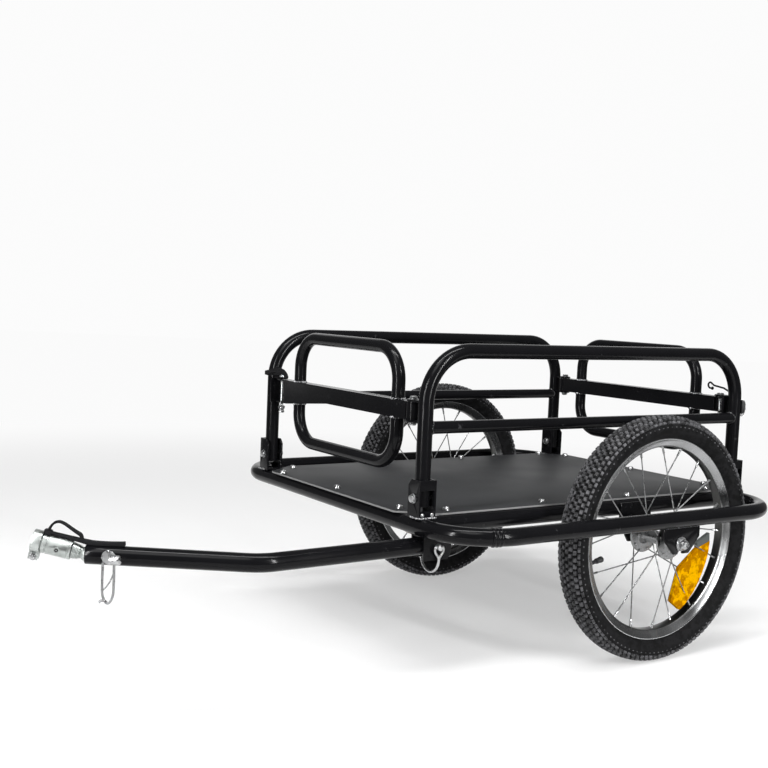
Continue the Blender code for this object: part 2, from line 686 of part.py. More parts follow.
def axle_side(name):
    """The plates under the loop and the rail, the stub axle and its outer nut."""
    sign = SIDES[name]
    top = FRAME_Z - TUBE - GAP
    slot = arc((0, AXLE_Z), AXLE + GAP, 180, 0, 8)
    hanger = [
        (-0.042, top), (0.038, top), (0.038, 0.205), (0.015, 0.180), (AXLE + GAP, 0.180), *slot[::-1],
        (-AXLE - GAP, 0.180), (-0.019, 0.180), (-0.042, 0.205),
    ]
    outer = sheet(name + "_outer_axle_plate", [hanger], PLATE, BLACK)
    put(outer, chassis, (0, sign * OUTER_PLATE_Y, 0), STANDING_XZ)
    bracket = [
        (-0.035, 0.245), (0.035, 0.245), (0.035, 0.214), (0.014, 0.181), (-0.014, 0.181), (-0.035, 0.214),
    ]
    hole = circle((0, AXLE_Z), AXLE + GAP, 16)
    inner = sheet(name + "_inner_axle_plate", [bracket, hole], PLATE, BLACK)
    put(inner, chassis, (0, sign * INNER_PLATE_Y, 0), STANDING_XZ)

    nut_face = INNER_PLATE_Y - PLATE / 2 - GAP
    low, high = (0.2285, 0.3570) if sign > 0 else (-0.3570, -0.2285)
    axle = rod(name + "_axle", AXLE, low, high, ZINC)
    put(axle, chassis, (0, 0, AXLE_Z), ALONG_Y)
    span = sorted((sign * (nut_face - 0.0078), sign * nut_face))
    fuse(axle, rod(name + "_inner_nut", 0.0098, *span, sides=6), (0, 0, AXLE_Z), ALONG_Y)

    face = OUTER_PLATE_Y + PLATE / 2 + GAP
    bore = across(AXLE + GAP, 16)
    washer = turned(name + "_axle_nut", [
        (bore, 0.0092), (0.0080, 0.0092), (0.0080, 0.0016), (0.0112, 0.0016), (0.0112, 0.0), (bore, 0.0),
    ], 16, ZINC, ring=True)
    turn = ALONG_Y if sign > 0 else (math.pi / 2, 0, 0)
    put(washer, chassis, (0, sign * face, AXLE_Z), turn)
    nut = sheet(name + "_nut_hexagon", [circle((0, 0), 0.0085, 6), circle((0, 0), 0.0070, 16)], 0.0070)
    fuse(washer, nut, (0, sign * (face + 0.0012 + 0.0035), AXLE_Z), turn)


# Drawbar, its foot pin and bail.

def drawbar_foot():
    """The channel under the left rail, the pin through it, and the wire bail that keeps the pin."""
    top = FRAME_Z - TUBE - GAP
    inner, outer = 0.0130, 0.0160
    web = FOOT.z + TUBE + GAP
    bottom = 0.186
    channel = [
        (-outer, bottom), (-inner, bottom), (-inner, web), (inner, web), (inner, bottom), (outer, bottom),
        (outer, top), (-outer, top),
    ]
    bracket = sheet("drawbar_bracket", [channel], 0.057, BLACK)
    put(bracket, chassis, (0.3925, RAIL_Y, 0), STANDING_YZ)
    drill = rod("bracket_drill", across(0.0043, 16), -0.03, 0.03)
    cut(bracket, drill, FOOT, ALONG_Y)
    # The walls are cut away behind, where the bail swings through.
    behind = [
        (0.3500, web - 0.0003), (0.3722, web - 0.0003), (0.3722, 0.1962), (0.3808, 0.1800), (0.3500, 0.1800),
    ]
    cut(bracket, sheet("bracket_heel", [behind], 0.060), (0, RAIL_Y, 0), STANDING_XZ)

    head_in, head_out = 0.0163, 0.0253
    wire = 0.0019
    middle = (head_in + head_out) / 2
    pin = turned("drawbar_pin", [
        (0.0, head_out), (0.0036, head_out), (0.0046, head_out - 0.001), (0.0046, head_in), (0.004, head_in),
        (0.004, -0.0190), (0.003, -0.0204), (0.0, -0.0204),
    ], 16, ZINC)
    put(pin, drawbar_pin_body, FOOT, ALONG_Y)
    cut(pin, rod("pin_head_drill", across(wire + GAP, 12), -0.01, 0.01, sides=12),
        FOOT + Vector((0, middle, 0)), ALONG_X)

    # The bail: two stubs in the head's cross hole, a fork, a round bottom and a leg over the pin's tip.
    near, far = middle, -0.0234
    low = -0.0394
    round_radius = (near - far) / 2
    turn_z = low + round_radius
    bottom_arc = [
        Vector((0, y, z)) for y, z in arc(((near + far) / 2, turn_z), round_radius, 0, -180, 14)
    ]
    leg = [Vector((0, near, turn_z + 0.003)), *bottom_arc, Vector((0, far, turn_z)), Vector((0, far, 0.0040))]
    del leg[1 + len(bottom_arc)]
    bail = pipe("drawbar_pin_bail", leg, wire, ZINC, resolution=1)
    put(bail, drawbar_pin_body, FOOT)
    half = 0.0046 + GAP + wire + 0.0003
    fork = [
        Vector((0.0028, near, 0)), Vector((half, near, 0)), Vector((half, near, -0.007)),
        Vector((0, near, turn_z + 0.0025)), Vector((-half, near, -0.007)), Vector((-half, near, 0)),
        Vector((-0.0028, near, 0)),
    ]
    fuse(bail, pipe("bail_fork", fork, wire * 0.95, resolution=1), FOOT)


def drawbar_bar():
    """The bent tube: a round foot that turns on the pin, an elbow, and a bore for the hitch ball."""
    cap = [
        (math.sin(math.radians(angle)), math.cos(math.radians(angle))) for angle in (15, 30, 45, 60, 75)
    ]
    way = (ELBOW - FOOT).normalized()
    bends = rounded_route([FOOT, ELBOW, TUBE_END], ELBOW_BEND, 8)
    start = [FOOT - way * TUBE * lean for _, lean in cap]
    route = start + bends
    widths = [wide for wide, _ in cap] + [1.0] * len(bends)
    tube = pipe("drawbar_tube", route, TUBE, BLACK, widths, resolution=5)
    put(tube, drawbar)
    cut(tube, rod("foot_drill", across(0.0043, 16), -0.03, 0.03), FOOT, ALONG_Y)
    inward = (-LEG).to_track_quat("Z", "Y").to_euler()
    cut(tube, rod("ball_bore", across(0.0111, 16), -0.01, 0.016), TUBE_END, inward)
    cross = NORMAL.to_track_quat("Z", "Y").to_euler()
    cut(tube, rod("safety_drill", across(0.0043, 12), -0.03, 0.03, sides=12), BOLT_PLACE, cross)


# The hitch.

def hitch():
    """Ball stud, swivelling body, split clamp ring and its pinch bolt, along the hitch axis."""
    down = NORMAL.cross(HITCH)
    turn = Matrix((down, NORMAL, HITCH)).transposed().to_euler()
    ball = [
        (0.0108 * math.sin(math.radians(a)), 0.0108 * math.cos(math.radians(a))) for a in range(44, 180, 17)
    ]
    neck = [(0.0, 0.0420), (0.0058, 0.0420), (0.0058, 0.0207), (0.0106, 0.0207), (0.0090, 0.0105),
            (0.0075, 0.0105)]
    stud = turned("coupler_stud", neck + ball + [(0.0, -0.0108)], 16, SILVER)
    put(stud, coupler, BALL, turn)

    body = turned("coupler_body", [
        (0.0, 0.050), (across(0.0078, 24), 0.050), (across(0.0078, 24), 0.0728), (0.0112, 0.0728), (0.0112, 0.0597),
        (0.0129, 0.0590), (0.0129, 0.0215), (0.0122, 0.0210), (across(0.0062, 24), 0.0210),
        (across(0.0062, 24), 0.0435), (0.0, 0.0435),
    ], 24, SILVER)
    put(body, coupler_head, BALL, turn)

    bottom, top = 0.0602, 0.0725
    inner, outer, split = across(0.0115, 24), 0.0152, 0.0015
    ring = turned("clamp_ring", [(inner, top), (outer, top), (outer, bottom), (inner, bottom)], 24, SILVER,
                  ring=True)
    put(ring, coupler_head, BALL, turn)
    ears = block("clamp_ears", (0.0132, -0.0075, bottom + 0.0010), (0.0232, 0.0075, top - 0.0010))
    fuse(ring, ears, BALL, turn)
    cut(ring, block("clamp_split", (0.0050, -split, bottom - 0.005), (0.0400, split, top + 0.005)), BALL, turn)
    centre = BALL + HITCH * (bottom + top) / 2 + down * 0.0187
    across_ears = NORMAL.to_track_quat("Z", "Y").to_euler()
    cut(ring, rod("ear_drill", across(0.0028, 12), -0.02, 0.02, sides=12), centre, across_ears)
    bolt("clamp_bolt", 2 * (0.0075 + GAP), 0.0025, 0.0050, 0.0034, coupler_head, centre, across_ears)


def safety_gear():
    """The cross bolt near the tube's end, the snap hook that hangs from it, and the strap on top."""
    cross = NORMAL.to_track_quat("Z", "Y").to_euler()
    stem = turned("safety_bolt", [
        (0.0, 0.0262), (0.0060, 0.0262), (0.0088, 0.0242), (0.0088, 0.0212), (0.0040, 0.0206), (0.0040, 0.0160),
        (0.0086, 0.0160), (0.0086, TUBE + GAP), (0.0040, TUBE + GAP), (0.0040, -TUBE - GAP),
        (0.0072, -TUBE - GAP), (0.0072, -0.0172), (0.0, -0.0172),
    ], 16, ZINC)
    put(stem, drawbar, BOLT_PLACE, cross)

    # The snap hook is one closed wire with a round eye at the bolt's neck and a small hook below.
    wire = 0.0014
    out = Vector((0, 0, 0)) + NORMAL * 0.0183
    along = Vector((NORMAL.y, -NORMAL.x, 0))
    down = Vector((0, 0, -1))
    eye, wide, tall = 0.0040 + GAP + wire + 0.0002, 0.0072, 0.0585
    upper = [(eye * math.cos(a), eye * math.sin(a)) for a in (math.radians(20 + 14 * k) for k in range(11))]
    flank = [(-wide, -0.012), (-wide, -0.045), (-0.0045, -0.0540), (0.0, -tall)]
    outline = upper + flank + [(-x, z) for x, z in reversed(flank[:-1])]
    loop = [out + along * x - down * z for x, z in outline]
    hook = pipe("snap_hook", loop, wire, ZINC, resolution=1, cyclic=True)
    put(hook, hook_body, BOLT_PLACE)
    tail = [(0.0, -tall), (0.0030, -0.0556), (0.0078, -0.0550), (0.0112, -0.0573)]
    tail_points = [out + along * x - down * z for x, z in tail]
    fuse(hook, pipe("hook_tail", tail_points, wire * 0.95, resolution=1), BOLT_PLACE)

    # The strap, seen from the side: a thick band on the tube, a thin one on the silver body, and a loop.
    rise = math.tan(math.asin(HITCH.z))
    band = [(-0.0500, TUBE + GAP + 0.0017 - 0.0013), (-0.0250, TUBE + GAP + 0.0019 - 0.0006),
            (-0.0020, TUBE + GAP + 0.0020), (0.0065, 0.0172)]
    band += [(x, x * rise + 0.0157) for x in (0.0130, 0.0200, 0.0320, 0.0440, 0.0485)]
    loop_line = [(0.0485, 0.0275), (0.0500, 0.0310), (0.0455, 0.0378), (0.0400, 0.0411), (0.0355, 0.0424),
                 (0.0310, 0.0424), (0.0250, 0.0392), (0.0180, 0.0338), (0.0075, 0.0262), (0.0035, 0.0205),
                 (0.0015, 0.0158)]
    flat = Vector((LEG.x, LEG.y, 0)).normalized()
    stand = Matrix((flat, Vector((0, 0, 1)), -NORMAL)).transposed()
    if stand.determinant() < 0:
        stand = Matrix((flat, Vector((0, 0, 1)), NORMAL)).transposed()
    turn = stand.to_euler()
    strap = sheet("safety_strap", [ribbon(band, [0.0034] * 3 + [0.0024] + [0.0020] * 4 + [0.0024])], 0.010, WEBBING)
    put(strap, drawbar, TUBE_END, turn)
    upper_loop = sheet("strap_loop", [ribbon(loop_line, [0.0018] * len(loop_line))], 0.0098)
    fuse(strap, upper_loop, TUBE_END, turn)


# Small trim at the latch pins.

def latch_trim():
    """The strap at the front latch, and the cord and clip at the rear one."""
    x = POST_X["front"] - 0.0006
    inner, outer, half = across(0.0121, 16), 0.0149, 0.0042
    ring = turned("front_latch_strap", [(inner, half), (outer, half), (outer, -half), (inner, -half)],
                  16, WEBBING, ring=True)
    put(ring, side_body["right"], (x, -SIDE_Y, STRAP_Z))
    tail = rounded_route([
        (x + 0.0148, -SIDE_Y, STRAP_Z + 0.0015), (x + 0.0156, -HINGE_Y - 0.0120, STRAP_Z + 0.0055),
        (x + 0.0066, -HINGE_Y + 0.0070, STRAP_Z + 0.0055), (x + 0.0021, -HINGE_Y + 0.0132, STRAP_Z - 0.0030),
    ], 0.006, 4)
    fuse(ring, pipe("front_strap_tail", tail, 0.0022, resolution=1))

    x = POST_X["rear"]
    start = SIDE_Y - POST_TUBE - GAP - 0.0005
    cord = rounded_route([
        (x + 0.0006, start, 0.4200), (x - 0.001, 0.2060, 0.4250), (x - 0.002, 0.1830, 0.4280),
        (x - 0.003, 0.1735, 0.4335), (x - 0.005, 0.1665, 0.4290), (x - 0.005, 0.1700, 0.4225),
        (x - 0.004, 0.1780, 0.4225),
    ], 0.004, 3)
    put(pipe("rear_pin_lanyard", cord, 0.0016, WEBBING, resolution=1), side_body["left"])

    clip = [
        (POST_TUBE + GAP, -0.012), (POST_TUBE + GAP + 0.0050, -0.009), (POST_TUBE + GAP + 0.0050, 0.009),
        (POST_TUBE + GAP, 0.012),
    ]
    bump = sheet("lanyard_clip", [clip], 0.012, WEBBING)
    put(bump, side_body["left"], (x, SIDE_Y, 0.395), (math.pi / 2, 0, math.radians(150)))


def centre_on_origin():
    """Centres the trailer's length on the origin, with the tyres on the ground."""
    bpy.context.view_layer.update()
    depsgraph = bpy.context.evaluated_depsgraph_get()
    low, high = Vector((1e9,) * 3), Vector((-1e9,) * 3)
    for piece in model.objects:
        if piece.type != "MESH":
            continue
        solid = piece.evaluated_get(depsgraph)
        for vertex in solid.data.vertices:
            place = solid.matrix_world @ vertex.co
            low = Vector(map(min, low, place))
            high = Vector(map(max, high, place))
    trailer.location = (-(low.x + high.x) / 2, -(low.y + high.y) / 2, -low.z)
    bpy.context.view_layer.update()
    print("size", [round(value, 4) for value in high - low], "moved", [round(v, 5) for v in trailer.location])


chassis_tubes()
deck()
for end_name in POST_X:
    for side_name in SIDES:
        fold_bracket(end_name, side_name)
for side_name in SIDES:
    side(side_name)
    axle_side(side_name)
for end_name in POST_X:
    gate(end_name)
wheels()
reflector("left", 142)
reflector("right", 60)
drawbar_foot()
drawbar_bar()
hitch()
safety_gear()
latch_trim()
centre_on_origin()
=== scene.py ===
# %% [markdown]
# # Dressing a folding cargo trailer
# The packed model gives exact solids that already move on their joints. This lesson gives each of them
# the look of the real thing: powder coated tubes, knobby tyres, spoked wheels, an alloy hitch. A piece
# that only needs a finish is a softened copy of its solid, and the others are made again with more detail.

# %% The frame
import json
import math

import bmesh
import bpy
from mathutils import Matrix, Vector

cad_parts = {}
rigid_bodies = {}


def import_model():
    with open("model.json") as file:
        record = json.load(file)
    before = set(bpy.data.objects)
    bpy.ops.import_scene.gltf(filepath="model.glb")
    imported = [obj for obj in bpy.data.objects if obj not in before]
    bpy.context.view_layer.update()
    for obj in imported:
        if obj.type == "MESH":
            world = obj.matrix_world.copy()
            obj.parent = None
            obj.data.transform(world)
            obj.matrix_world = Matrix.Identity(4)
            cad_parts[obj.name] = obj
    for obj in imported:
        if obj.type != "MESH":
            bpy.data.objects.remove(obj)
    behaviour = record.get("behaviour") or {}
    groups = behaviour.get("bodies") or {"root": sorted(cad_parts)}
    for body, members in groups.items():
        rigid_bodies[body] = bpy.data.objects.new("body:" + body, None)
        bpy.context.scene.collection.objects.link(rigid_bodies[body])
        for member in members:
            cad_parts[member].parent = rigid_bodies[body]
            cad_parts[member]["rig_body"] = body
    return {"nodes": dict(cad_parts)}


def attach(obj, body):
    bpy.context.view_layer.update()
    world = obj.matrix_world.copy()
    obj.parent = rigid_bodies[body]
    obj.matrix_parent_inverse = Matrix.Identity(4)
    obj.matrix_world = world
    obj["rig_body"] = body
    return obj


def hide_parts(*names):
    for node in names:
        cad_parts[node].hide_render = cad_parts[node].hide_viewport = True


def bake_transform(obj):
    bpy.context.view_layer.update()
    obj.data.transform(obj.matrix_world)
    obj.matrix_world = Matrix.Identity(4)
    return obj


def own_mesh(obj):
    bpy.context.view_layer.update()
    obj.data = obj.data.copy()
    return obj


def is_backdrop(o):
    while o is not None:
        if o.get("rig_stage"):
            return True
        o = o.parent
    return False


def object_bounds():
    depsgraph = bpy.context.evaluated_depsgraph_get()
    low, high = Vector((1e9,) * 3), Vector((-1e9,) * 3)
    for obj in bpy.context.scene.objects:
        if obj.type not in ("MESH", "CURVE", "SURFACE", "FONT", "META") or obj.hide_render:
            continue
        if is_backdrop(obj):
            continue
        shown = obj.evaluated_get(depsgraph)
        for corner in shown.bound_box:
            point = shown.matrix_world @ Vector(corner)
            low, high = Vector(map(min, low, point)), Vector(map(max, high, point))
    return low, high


for thing in list(bpy.data.objects):
    bpy.data.objects.remove(thing, do_unlink=True)

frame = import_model()
size = {"cad": [list(corner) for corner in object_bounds()]}

# %% [markdown]
# ## The camera
# A photograph is only matched from its own viewpoint, so the camera comes first. Its three directions and
# its place were worked out from the wheels and the deck, whose real sizes are known. An object's matrix
# takes them as columns: right, up, and backwards, because a Blender camera looks along its own minus Z.

# %% The viewpoint
RIGHT = Vector((-0.83522572, 0.54823702, 0.04282717))
DOWN = Vector((0.00472578, 0.08503377, -0.99636686))
AHEAD = Vector((-0.54988696, -0.83198884, -0.07361324))
PLACE, FOCAL_LENGTH = (0.99169, 1.49389, 0.54974), 51.66
lens = bpy.data.cameras.new("viewpoint")
lens.lens = FOCAL_LENGTH
lens.sensor_width = 36.0
lens.clip_start, lens.clip_end = 0.05, 100.0
viewpoint = bpy.data.objects.new("viewpoint", lens)
bpy.context.scene.collection.objects.link(viewpoint)
turn = Matrix((RIGHT, -DOWN, -AHEAD)).transposed()
viewpoint.matrix_world = Matrix.Translation(PLACE) @ turn.to_4x4()
bpy.context.scene.camera = viewpoint
print("camera looks along", [round(v, 3) for v in AHEAD])

# %% [markdown]
# ## Sizes that the pieces share
# All places are measured from the ground under the axle, as a workshop drawing would do. The packed
# model has its middle on the origin, so every finished mesh moves by AXLE_X once, at the very end.

# %% Sizes
AXLE_X = -0.33354
AXLE_Z = 0.196
WHEEL_Y = 0.2932
SIDES = {"left": 1, "right": -1}
TUBE, CROSS_TUBE, POST_TUBE, MID_TUBE, GATE_TUBE = 0.0127, 0.0111, 0.0111, 0.0092, 0.0100
FRAME_Z = 0.2344
LOOP_Y, LOOP_FRONT, LOOP_REAR, LOOP_BEND, SEAM_X = 0.3415, 0.4224, -0.2462, 0.090, 0.3260
RAIL_Y = 0.2299
SIDE_Y, SIDE_TOP, SIDE_BEND, FOOT_Z, MID_Z, PIVOT_Z = 0.2312, 0.485, 0.075, 0.263, 0.3753, 0.275
POST_X = {"front": 0.41775, "rear": -0.2435}
HINGE_SIDE = {"front": "left", "rear": "right"}
HINGE_Y, BAR_BOTTOM, BAR_TOP = 0.200, 0.3835, 0.410
LATCH_DROP, DROP_START, DROP_END = {"front": 0.0135, "rear": 0.0}, 0.030, 0.166
GATE_HALF, GATE_TOP, GATE_LOW, GATE_BEND = 0.148, 0.485, 0.311, 0.050
GATE_SHIFT = {"front": 0.012, "rear": -0.004}
DECK_TOP = 0.2504
FOOT = Vector((0.397, RAIL_Y, 0.2054))
ELBOW = Vector((0.6685, 0.2299, 0.2037))
TUBE_END = Vector((0.8650, 0.1165, 0.2096))
LEG = (TUBE_END - ELBOW).normalized()
BALL = TUBE_END - 0.003 * LEG
HITCH = Vector((0.8458, -0.4835, 0.2257)).normalized()
NORMAL = Vector((0.5, math.sqrt(0.75), 0.0))
BOLT_PLACE = TUBE_END - 0.0325 * LEG
X, Y, Z = Vector((1, 0, 0)), Vector((0, 1, 0)), Vector((0, 0, 1))
print("wheel centres at", (AXLE_X, WHEEL_Y, AXLE_Z))

# %% [markdown]
# ## Shapes as lists of corners and faces
# A small workshop of shape makers keeps the pieces short. Each returns corners and faces in its own
# frame, and several are joined into one mesh. Turned pieces come from a profile of radii and heights,
# and a shape function may change the radius round the axis, which turns a round head into a hexagon.

# %% Shape makers
def turned(profile, steps=40, shape=None):
    """Corners and faces of a profile of (radius, height) points turned about its own Z."""
    corners, rows = [], []
    for radius, height in profile:
        count = 1 if radius < 1e-6 else steps
        rows.append(range(len(corners), len(corners) + count))
        for step in range(count):
            angle = 2 * math.pi * step / steps
            reach = shape(angle, radius, height) if shape and count > 1 else radius
            corners.append(Vector((reach * math.cos(angle), reach * math.sin(angle), height)))
    faces = []
    for low, high in zip(rows, rows[1:]):
        for step in range(steps):
            ring = [low[step % len(low)], low[(step + 1) % len(low)],
                    high[(step + 1) % len(high)], high[step % len(high)]]
            faces.append([c for n, c in enumerate(ring) if c not in ring[:n]])
    for row in (rows[0], rows[-1]):
        if len(row) > 1 and profile[0] != profile[-1]:
            faces.append(list(row))
    return corners, [face for face in faces if len(face) > 2]


def prism(outline, low, high):
    """A flat plate between two heights from its outline."""
    count = len(outline)
    corners = [Vector((x, y, z)) for z in (low, high) for x, y in outline]
    faces = [list(range(count)), list(range(count, 2 * count))]
    faces += [[n, (n + 1) % count, count + (n + 1) % count, count + n] for n in range(count)]
    return corners, faces


def smooth(points, steps):
    """A curve through points, with the given number of steps between neighbours."""
    points = [Vector(point) for point in points]
    ends = [2 * points[0] - points[1]] + points + [2 * points[-1] - points[-2]]
    curve = []
    for a, b, c, d in zip(ends, ends[1:], ends[2:], ends[3:]):
        for step in range(steps):
            t = step / steps
            curve.append(0.5 * (2 * b + (c - a) * t + (2 * a - 5 * b + 4 * c - d) * t * t
                                + (3 * b - a - 3 * c + d) * t ** 3))
    return curve + [points[-1]]


print("a turned cup has", len(turned([(0, 0), (1, 0), (1, 1)])[0]), "corners")

# %% [markdown]
# A wire or a strap is a small outline carried along a path. It turns as little as it can from one point to
# the next, which keeps it from twisting. A matrix then stands each shape in its place.

# %% Sweeps and places
def swept(points, section, side=None, closed=False, sizes=None):
    """A section of (sideways, upwards) points carried along a path; sizes scale its height at each point."""
    corners, faces, width = [], [], len(section)
    across = Vector(side) if side else (points[1] - points[0]).orthogonal()
    for number, point in enumerate(points):
        before = points[number - 1] if closed or number else point
        after = points[(number + 1) % len(points)] if closed or number + 1 < len(points) else point
        way = (after - before).normalized()
        across = (across - way * across.dot(way)).normalized()
        up = way.cross(across)
        tall = sizes[number] if sizes else 1.0
        corners += [point + across * a + up * b * tall for a, b in section]
    for row in range(len(points) if closed else len(points) - 1):
        low, high = row * width, (row + 1) % len(points) * width
        faces += [[low + n, low + (n + 1) % width, high + (n + 1) % width, high + n] for n in range(width)]
    if not closed:
        faces += [list(range(width)), list(range(len(corners) - width, len(corners)))]
    return corners, faces


def round_section(radius, sides=12):
    """The outline of a round wire."""
    return [(radius * math.cos(2 * math.pi * n / sides), radius * math.sin(2 * math.pi * n / sides))
            for n in range(sides)]


def at(place, along=Z, about=None):
    """The matrix that stands a shape's own Z along a direction at a place."""
    along = Vector(along).normalized()
    if about is None:
        turn = along.to_track_quat("Z", "Y").to_matrix()
    else:
        first = Vector(about).normalized()
        turn = Matrix((first, along.cross(first), along)).transposed()
    return Matrix.Translation(place) @ turn.to_4x4()


def joined(*parts):
    """Corners and faces of several (shape, matrix) parts."""
    corners, faces = [], []
    for (points, sides), matrix in parts:
        faces += [[len(corners) + n for n in side] for side in sides]
        corners += [matrix @ point for point in points]
    return corners, faces


print("a wire's section has", len(round_section(1.0)), "corners")

# %% [markdown]
# ## From a shape to a piece that moves
# A piece's faces must point outwards, its edges need the right smoothing, and it has to ride on the body
# whose solid it stands for. One function does this for all of them, so no piece can be forgotten.

# %% Pieces
def cleaned(mesh):
    """The mesh with doubled corners merged and its faces turned outwards."""
    bm = bmesh.new()
    bm.from_mesh(mesh)
    bmesh.ops.remove_doubles(bm, verts=bm.verts, dist=1e-6)
    bmesh.ops.recalc_face_normals(bm, faces=bm.faces)
    bm.to_mesh(mesh)
    bm.free()
    return mesh


def solid_mesh(shape):
    """A mesh from corners and faces."""
    mesh = bpy.data.meshes.new("solid")
    mesh.from_pydata([tuple(point) for point in shape[0]], [], shape[1])
    return cleaned(mesh)


def evaluated(piece):
    """The mesh that a piece's modifiers make."""
    graph = bpy.context.evaluated_depsgraph_get()
    return bpy.data.meshes.new_from_object(piece.evaluated_get(graph))


def rounded(mesh, width):
    """The mesh with its sharp edges rounded."""
    piece = bpy.data.objects.new("rounding", mesh)
    bpy.context.scene.collection.objects.link(piece)
    bevel = piece.modifiers.new("edges", "BEVEL")
    bevel.width, bevel.segments = width, 2
    bevel.limit_method, bevel.angle_limit = "ANGLE", math.radians(28)
    result = evaluated(piece)
    bpy.data.objects.remove(piece)
    return result


def place_piece(name, mesh, finish, body, nodes=(), crease=32, edge=0.0):
    """Puts a mesh in trailer coordinates on its body, in the place of its CAD nodes."""
    if edge:
        mesh = rounded(mesh, edge)
    mesh.transform(Matrix.Translation((AXLE_X, 0, 0)))
    mesh.name = name
    mesh.shade_smooth()
    mesh.set_sharp_from_angle(angle=math.radians(crease))
    if finish:
        mesh.materials.clear()
        mesh.materials.append(finish)
    piece = bpy.data.objects.new(name, mesh)
    bpy.context.scene.collection.objects.link(piece)
    if body:
        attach(piece, body)
    if nodes:
        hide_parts(*([nodes] if isinstance(nodes, str) else nodes))
    return piece


print("pieces move by", AXLE_X, "m to their place")

# %% [markdown]
# Two more helpers work on whole meshes. One takes a closed shape out of a mesh, as a drill does. The other
# copies a CAD solid, merges its loose triangles and rounds its edges.

# %% Cuts and softened solids
def cut_away(mesh, shape):
    """The mesh without what lies inside a closed shape."""
    pair = []
    for data in (mesh, solid_mesh(shape)):
        pair.append(bpy.data.objects.new("cutting", data))
        bpy.context.scene.collection.objects.link(pair[-1])
    cut = pair[0].modifiers.new("cut", "BOOLEAN")
    cut.operation, cut.solver, cut.object = "DIFFERENCE", "EXACT", pair[1]
    result = evaluated(pair[0])
    for piece in pair:
        bpy.data.objects.remove(piece)
    return result


def softened(node, finish, edge=0.0006, notch=False):
    """A copy of a CAD node with merged corners and rounded edges, in its place."""
    original = frame["nodes"][node]
    mesh = original.data.copy()
    bm = bmesh.new()
    bm.from_mesh(mesh)
    bmesh.ops.remove_doubles(bm, verts=bm.verts, dist=2e-6)
    bmesh.ops.dissolve_limit(bm, angle_limit=math.radians(1), verts=bm.verts, edges=bm.edges)
    bm.to_mesh(mesh)
    bm.free()
    mesh.transform(Matrix.Translation((-AXLE_X, 0, 0)))
    if notch:
        mesh = cut_away(mesh, prism([(0.40, -0.23), (0.44, -0.23), (0.44, -0.1765), (0.40, -0.1765)],
                                    BAR_BOTTOM - LATCH_DROP["front"] + 0.0019, BAR_TOP - 0.0019))
    return place_piece(node + "_finished", mesh, finish, original["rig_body"], node, crease=24, edge=edge)


print("solids to work from", len(frame["nodes"]))

# %% [markdown]
# ## Geometry Nodes for what repeats or follows a path
# A recipe is a small node tree with named inputs. Every tree ends in Realize Instances and Set Material,
# because a finished part has to be one plain mesh. The recipe runs once as a modifier on a helper object,
# and the mesh that comes out is kept.

# %% Recipes
def in_use(sockets, key):
    """A socket by its position, or by its name among those that the node shows."""
    if isinstance(key, int):
        return sockets[key]
    return next(socket for socket in sockets if socket.enabled and socket.name == key)


class Recipe:
    """A Geometry Nodes tree with named inputs."""

    def __init__(self, name, **inputs):
        self.tree = bpy.data.node_groups.new(name, "GeometryNodeTree")
        face = self.tree.interface
        for label, kind in {"Geometry": "Geometry", **inputs, "Finish": "Material"}.items():
            face.new_socket(label, in_out="INPUT", socket_type="NodeSocket" + kind)
        face.new_socket("Geometry", in_out="OUTPUT", socket_type="NodeSocketGeometry")
        self.given = self.tree.nodes.new("NodeGroupInput")

    def __getitem__(self, label):
        return self.given.outputs[label]

    def node(self, kind, settings=None, sockets=None, out=0):
        """Any node: its kind, its settings, then its sockets."""
        made = self.tree.nodes.new(kind)
        for key, value in (settings or {}).items():
            setattr(made, key, value)
        for key, value in (sockets or {}).items():
            target = in_use(made.inputs, key)
            if isinstance(value, bpy.types.NodeSocket):
                self.tree.links.new(value, target)
            else:
                target.default_value = value
        return in_use(made.outputs, out)

    def finish(self, geometry):
        """Ends the tree: real copies, then the finish."""
        real = self.node("GeometryNodeRealizeInstances", sockets={0: geometry})
        coated = self.node("GeometryNodeSetMaterial", sockets={"Geometry": real, "Material": self["Finish"]})
        sink = self.tree.nodes.new("NodeGroupOutput")
        self.tree.links.new(coated, sink.inputs[0])
        return self

    def run(self, mesh, **values):
        """The mesh that the recipe makes from a starting mesh and its inputs."""
        helper = bpy.data.objects.new("helper", mesh)
        modifier = helper.modifiers.new("recipe", "NODES")
        modifier.node_group = self.tree
        for item in self.tree.interface.items_tree:
            if item.in_out == "INPUT" and item.name in values:
                modifier[item.identifier] = values[item.name]
        bpy.context.scene.collection.objects.link(helper)
        made = evaluated(helper)
        bpy.data.objects.remove(helper)
        return made


def path_mesh(*paths, closed=False):
    """A mesh of bare edges along one or more lists of points."""
    corners, edges = [], []
    for path in paths:
        start = len(corners)
        corners += [tuple(point) for point in path]
        edges += [(n, n + 1) for n in range(start, len(corners) - 1)]
        if closed:
            edges.append((len(corners) - 1, start))
    mesh = bpy.data.meshes.new("path")
    mesh.from_pydata(corners, edges, [])
    return mesh


print("every recipe takes Geometry and Finish, and its own sizes")

# %% [markdown]
# The first recipe bends tubes. It takes only the corners of the route, as a tube bender's drawing does:
# Fillet Curve rounds each corner to the bend radius, and Curve to Mesh carries a circle along the result.

# %% The tube bender
tube_bender = Recipe("tube_bender", Bend="Float", Radius="Float", Steps="Int", Sides="Int")
line = tube_bender.node("GeometryNodeMeshToCurve", sockets={"Mesh": tube_bender["Geometry"]})
bent = tube_bender.node("GeometryNodeFilletCurve", {"mode": "POLY"}, {
    "Curve": line, "Count": tube_bender["Steps"], "Radius": tube_bender["Bend"]})
ring = tube_bender.node("GeometryNodeCurvePrimitiveCircle", sockets={
    "Resolution": tube_bender["Sides"], "Radius": tube_bender["Radius"]})
tube_bender.finish(tube_bender.node("GeometryNodeCurveToMesh", sockets={
    "Curve": bent, "Profile Curve": ring, "Fill Caps": True}))


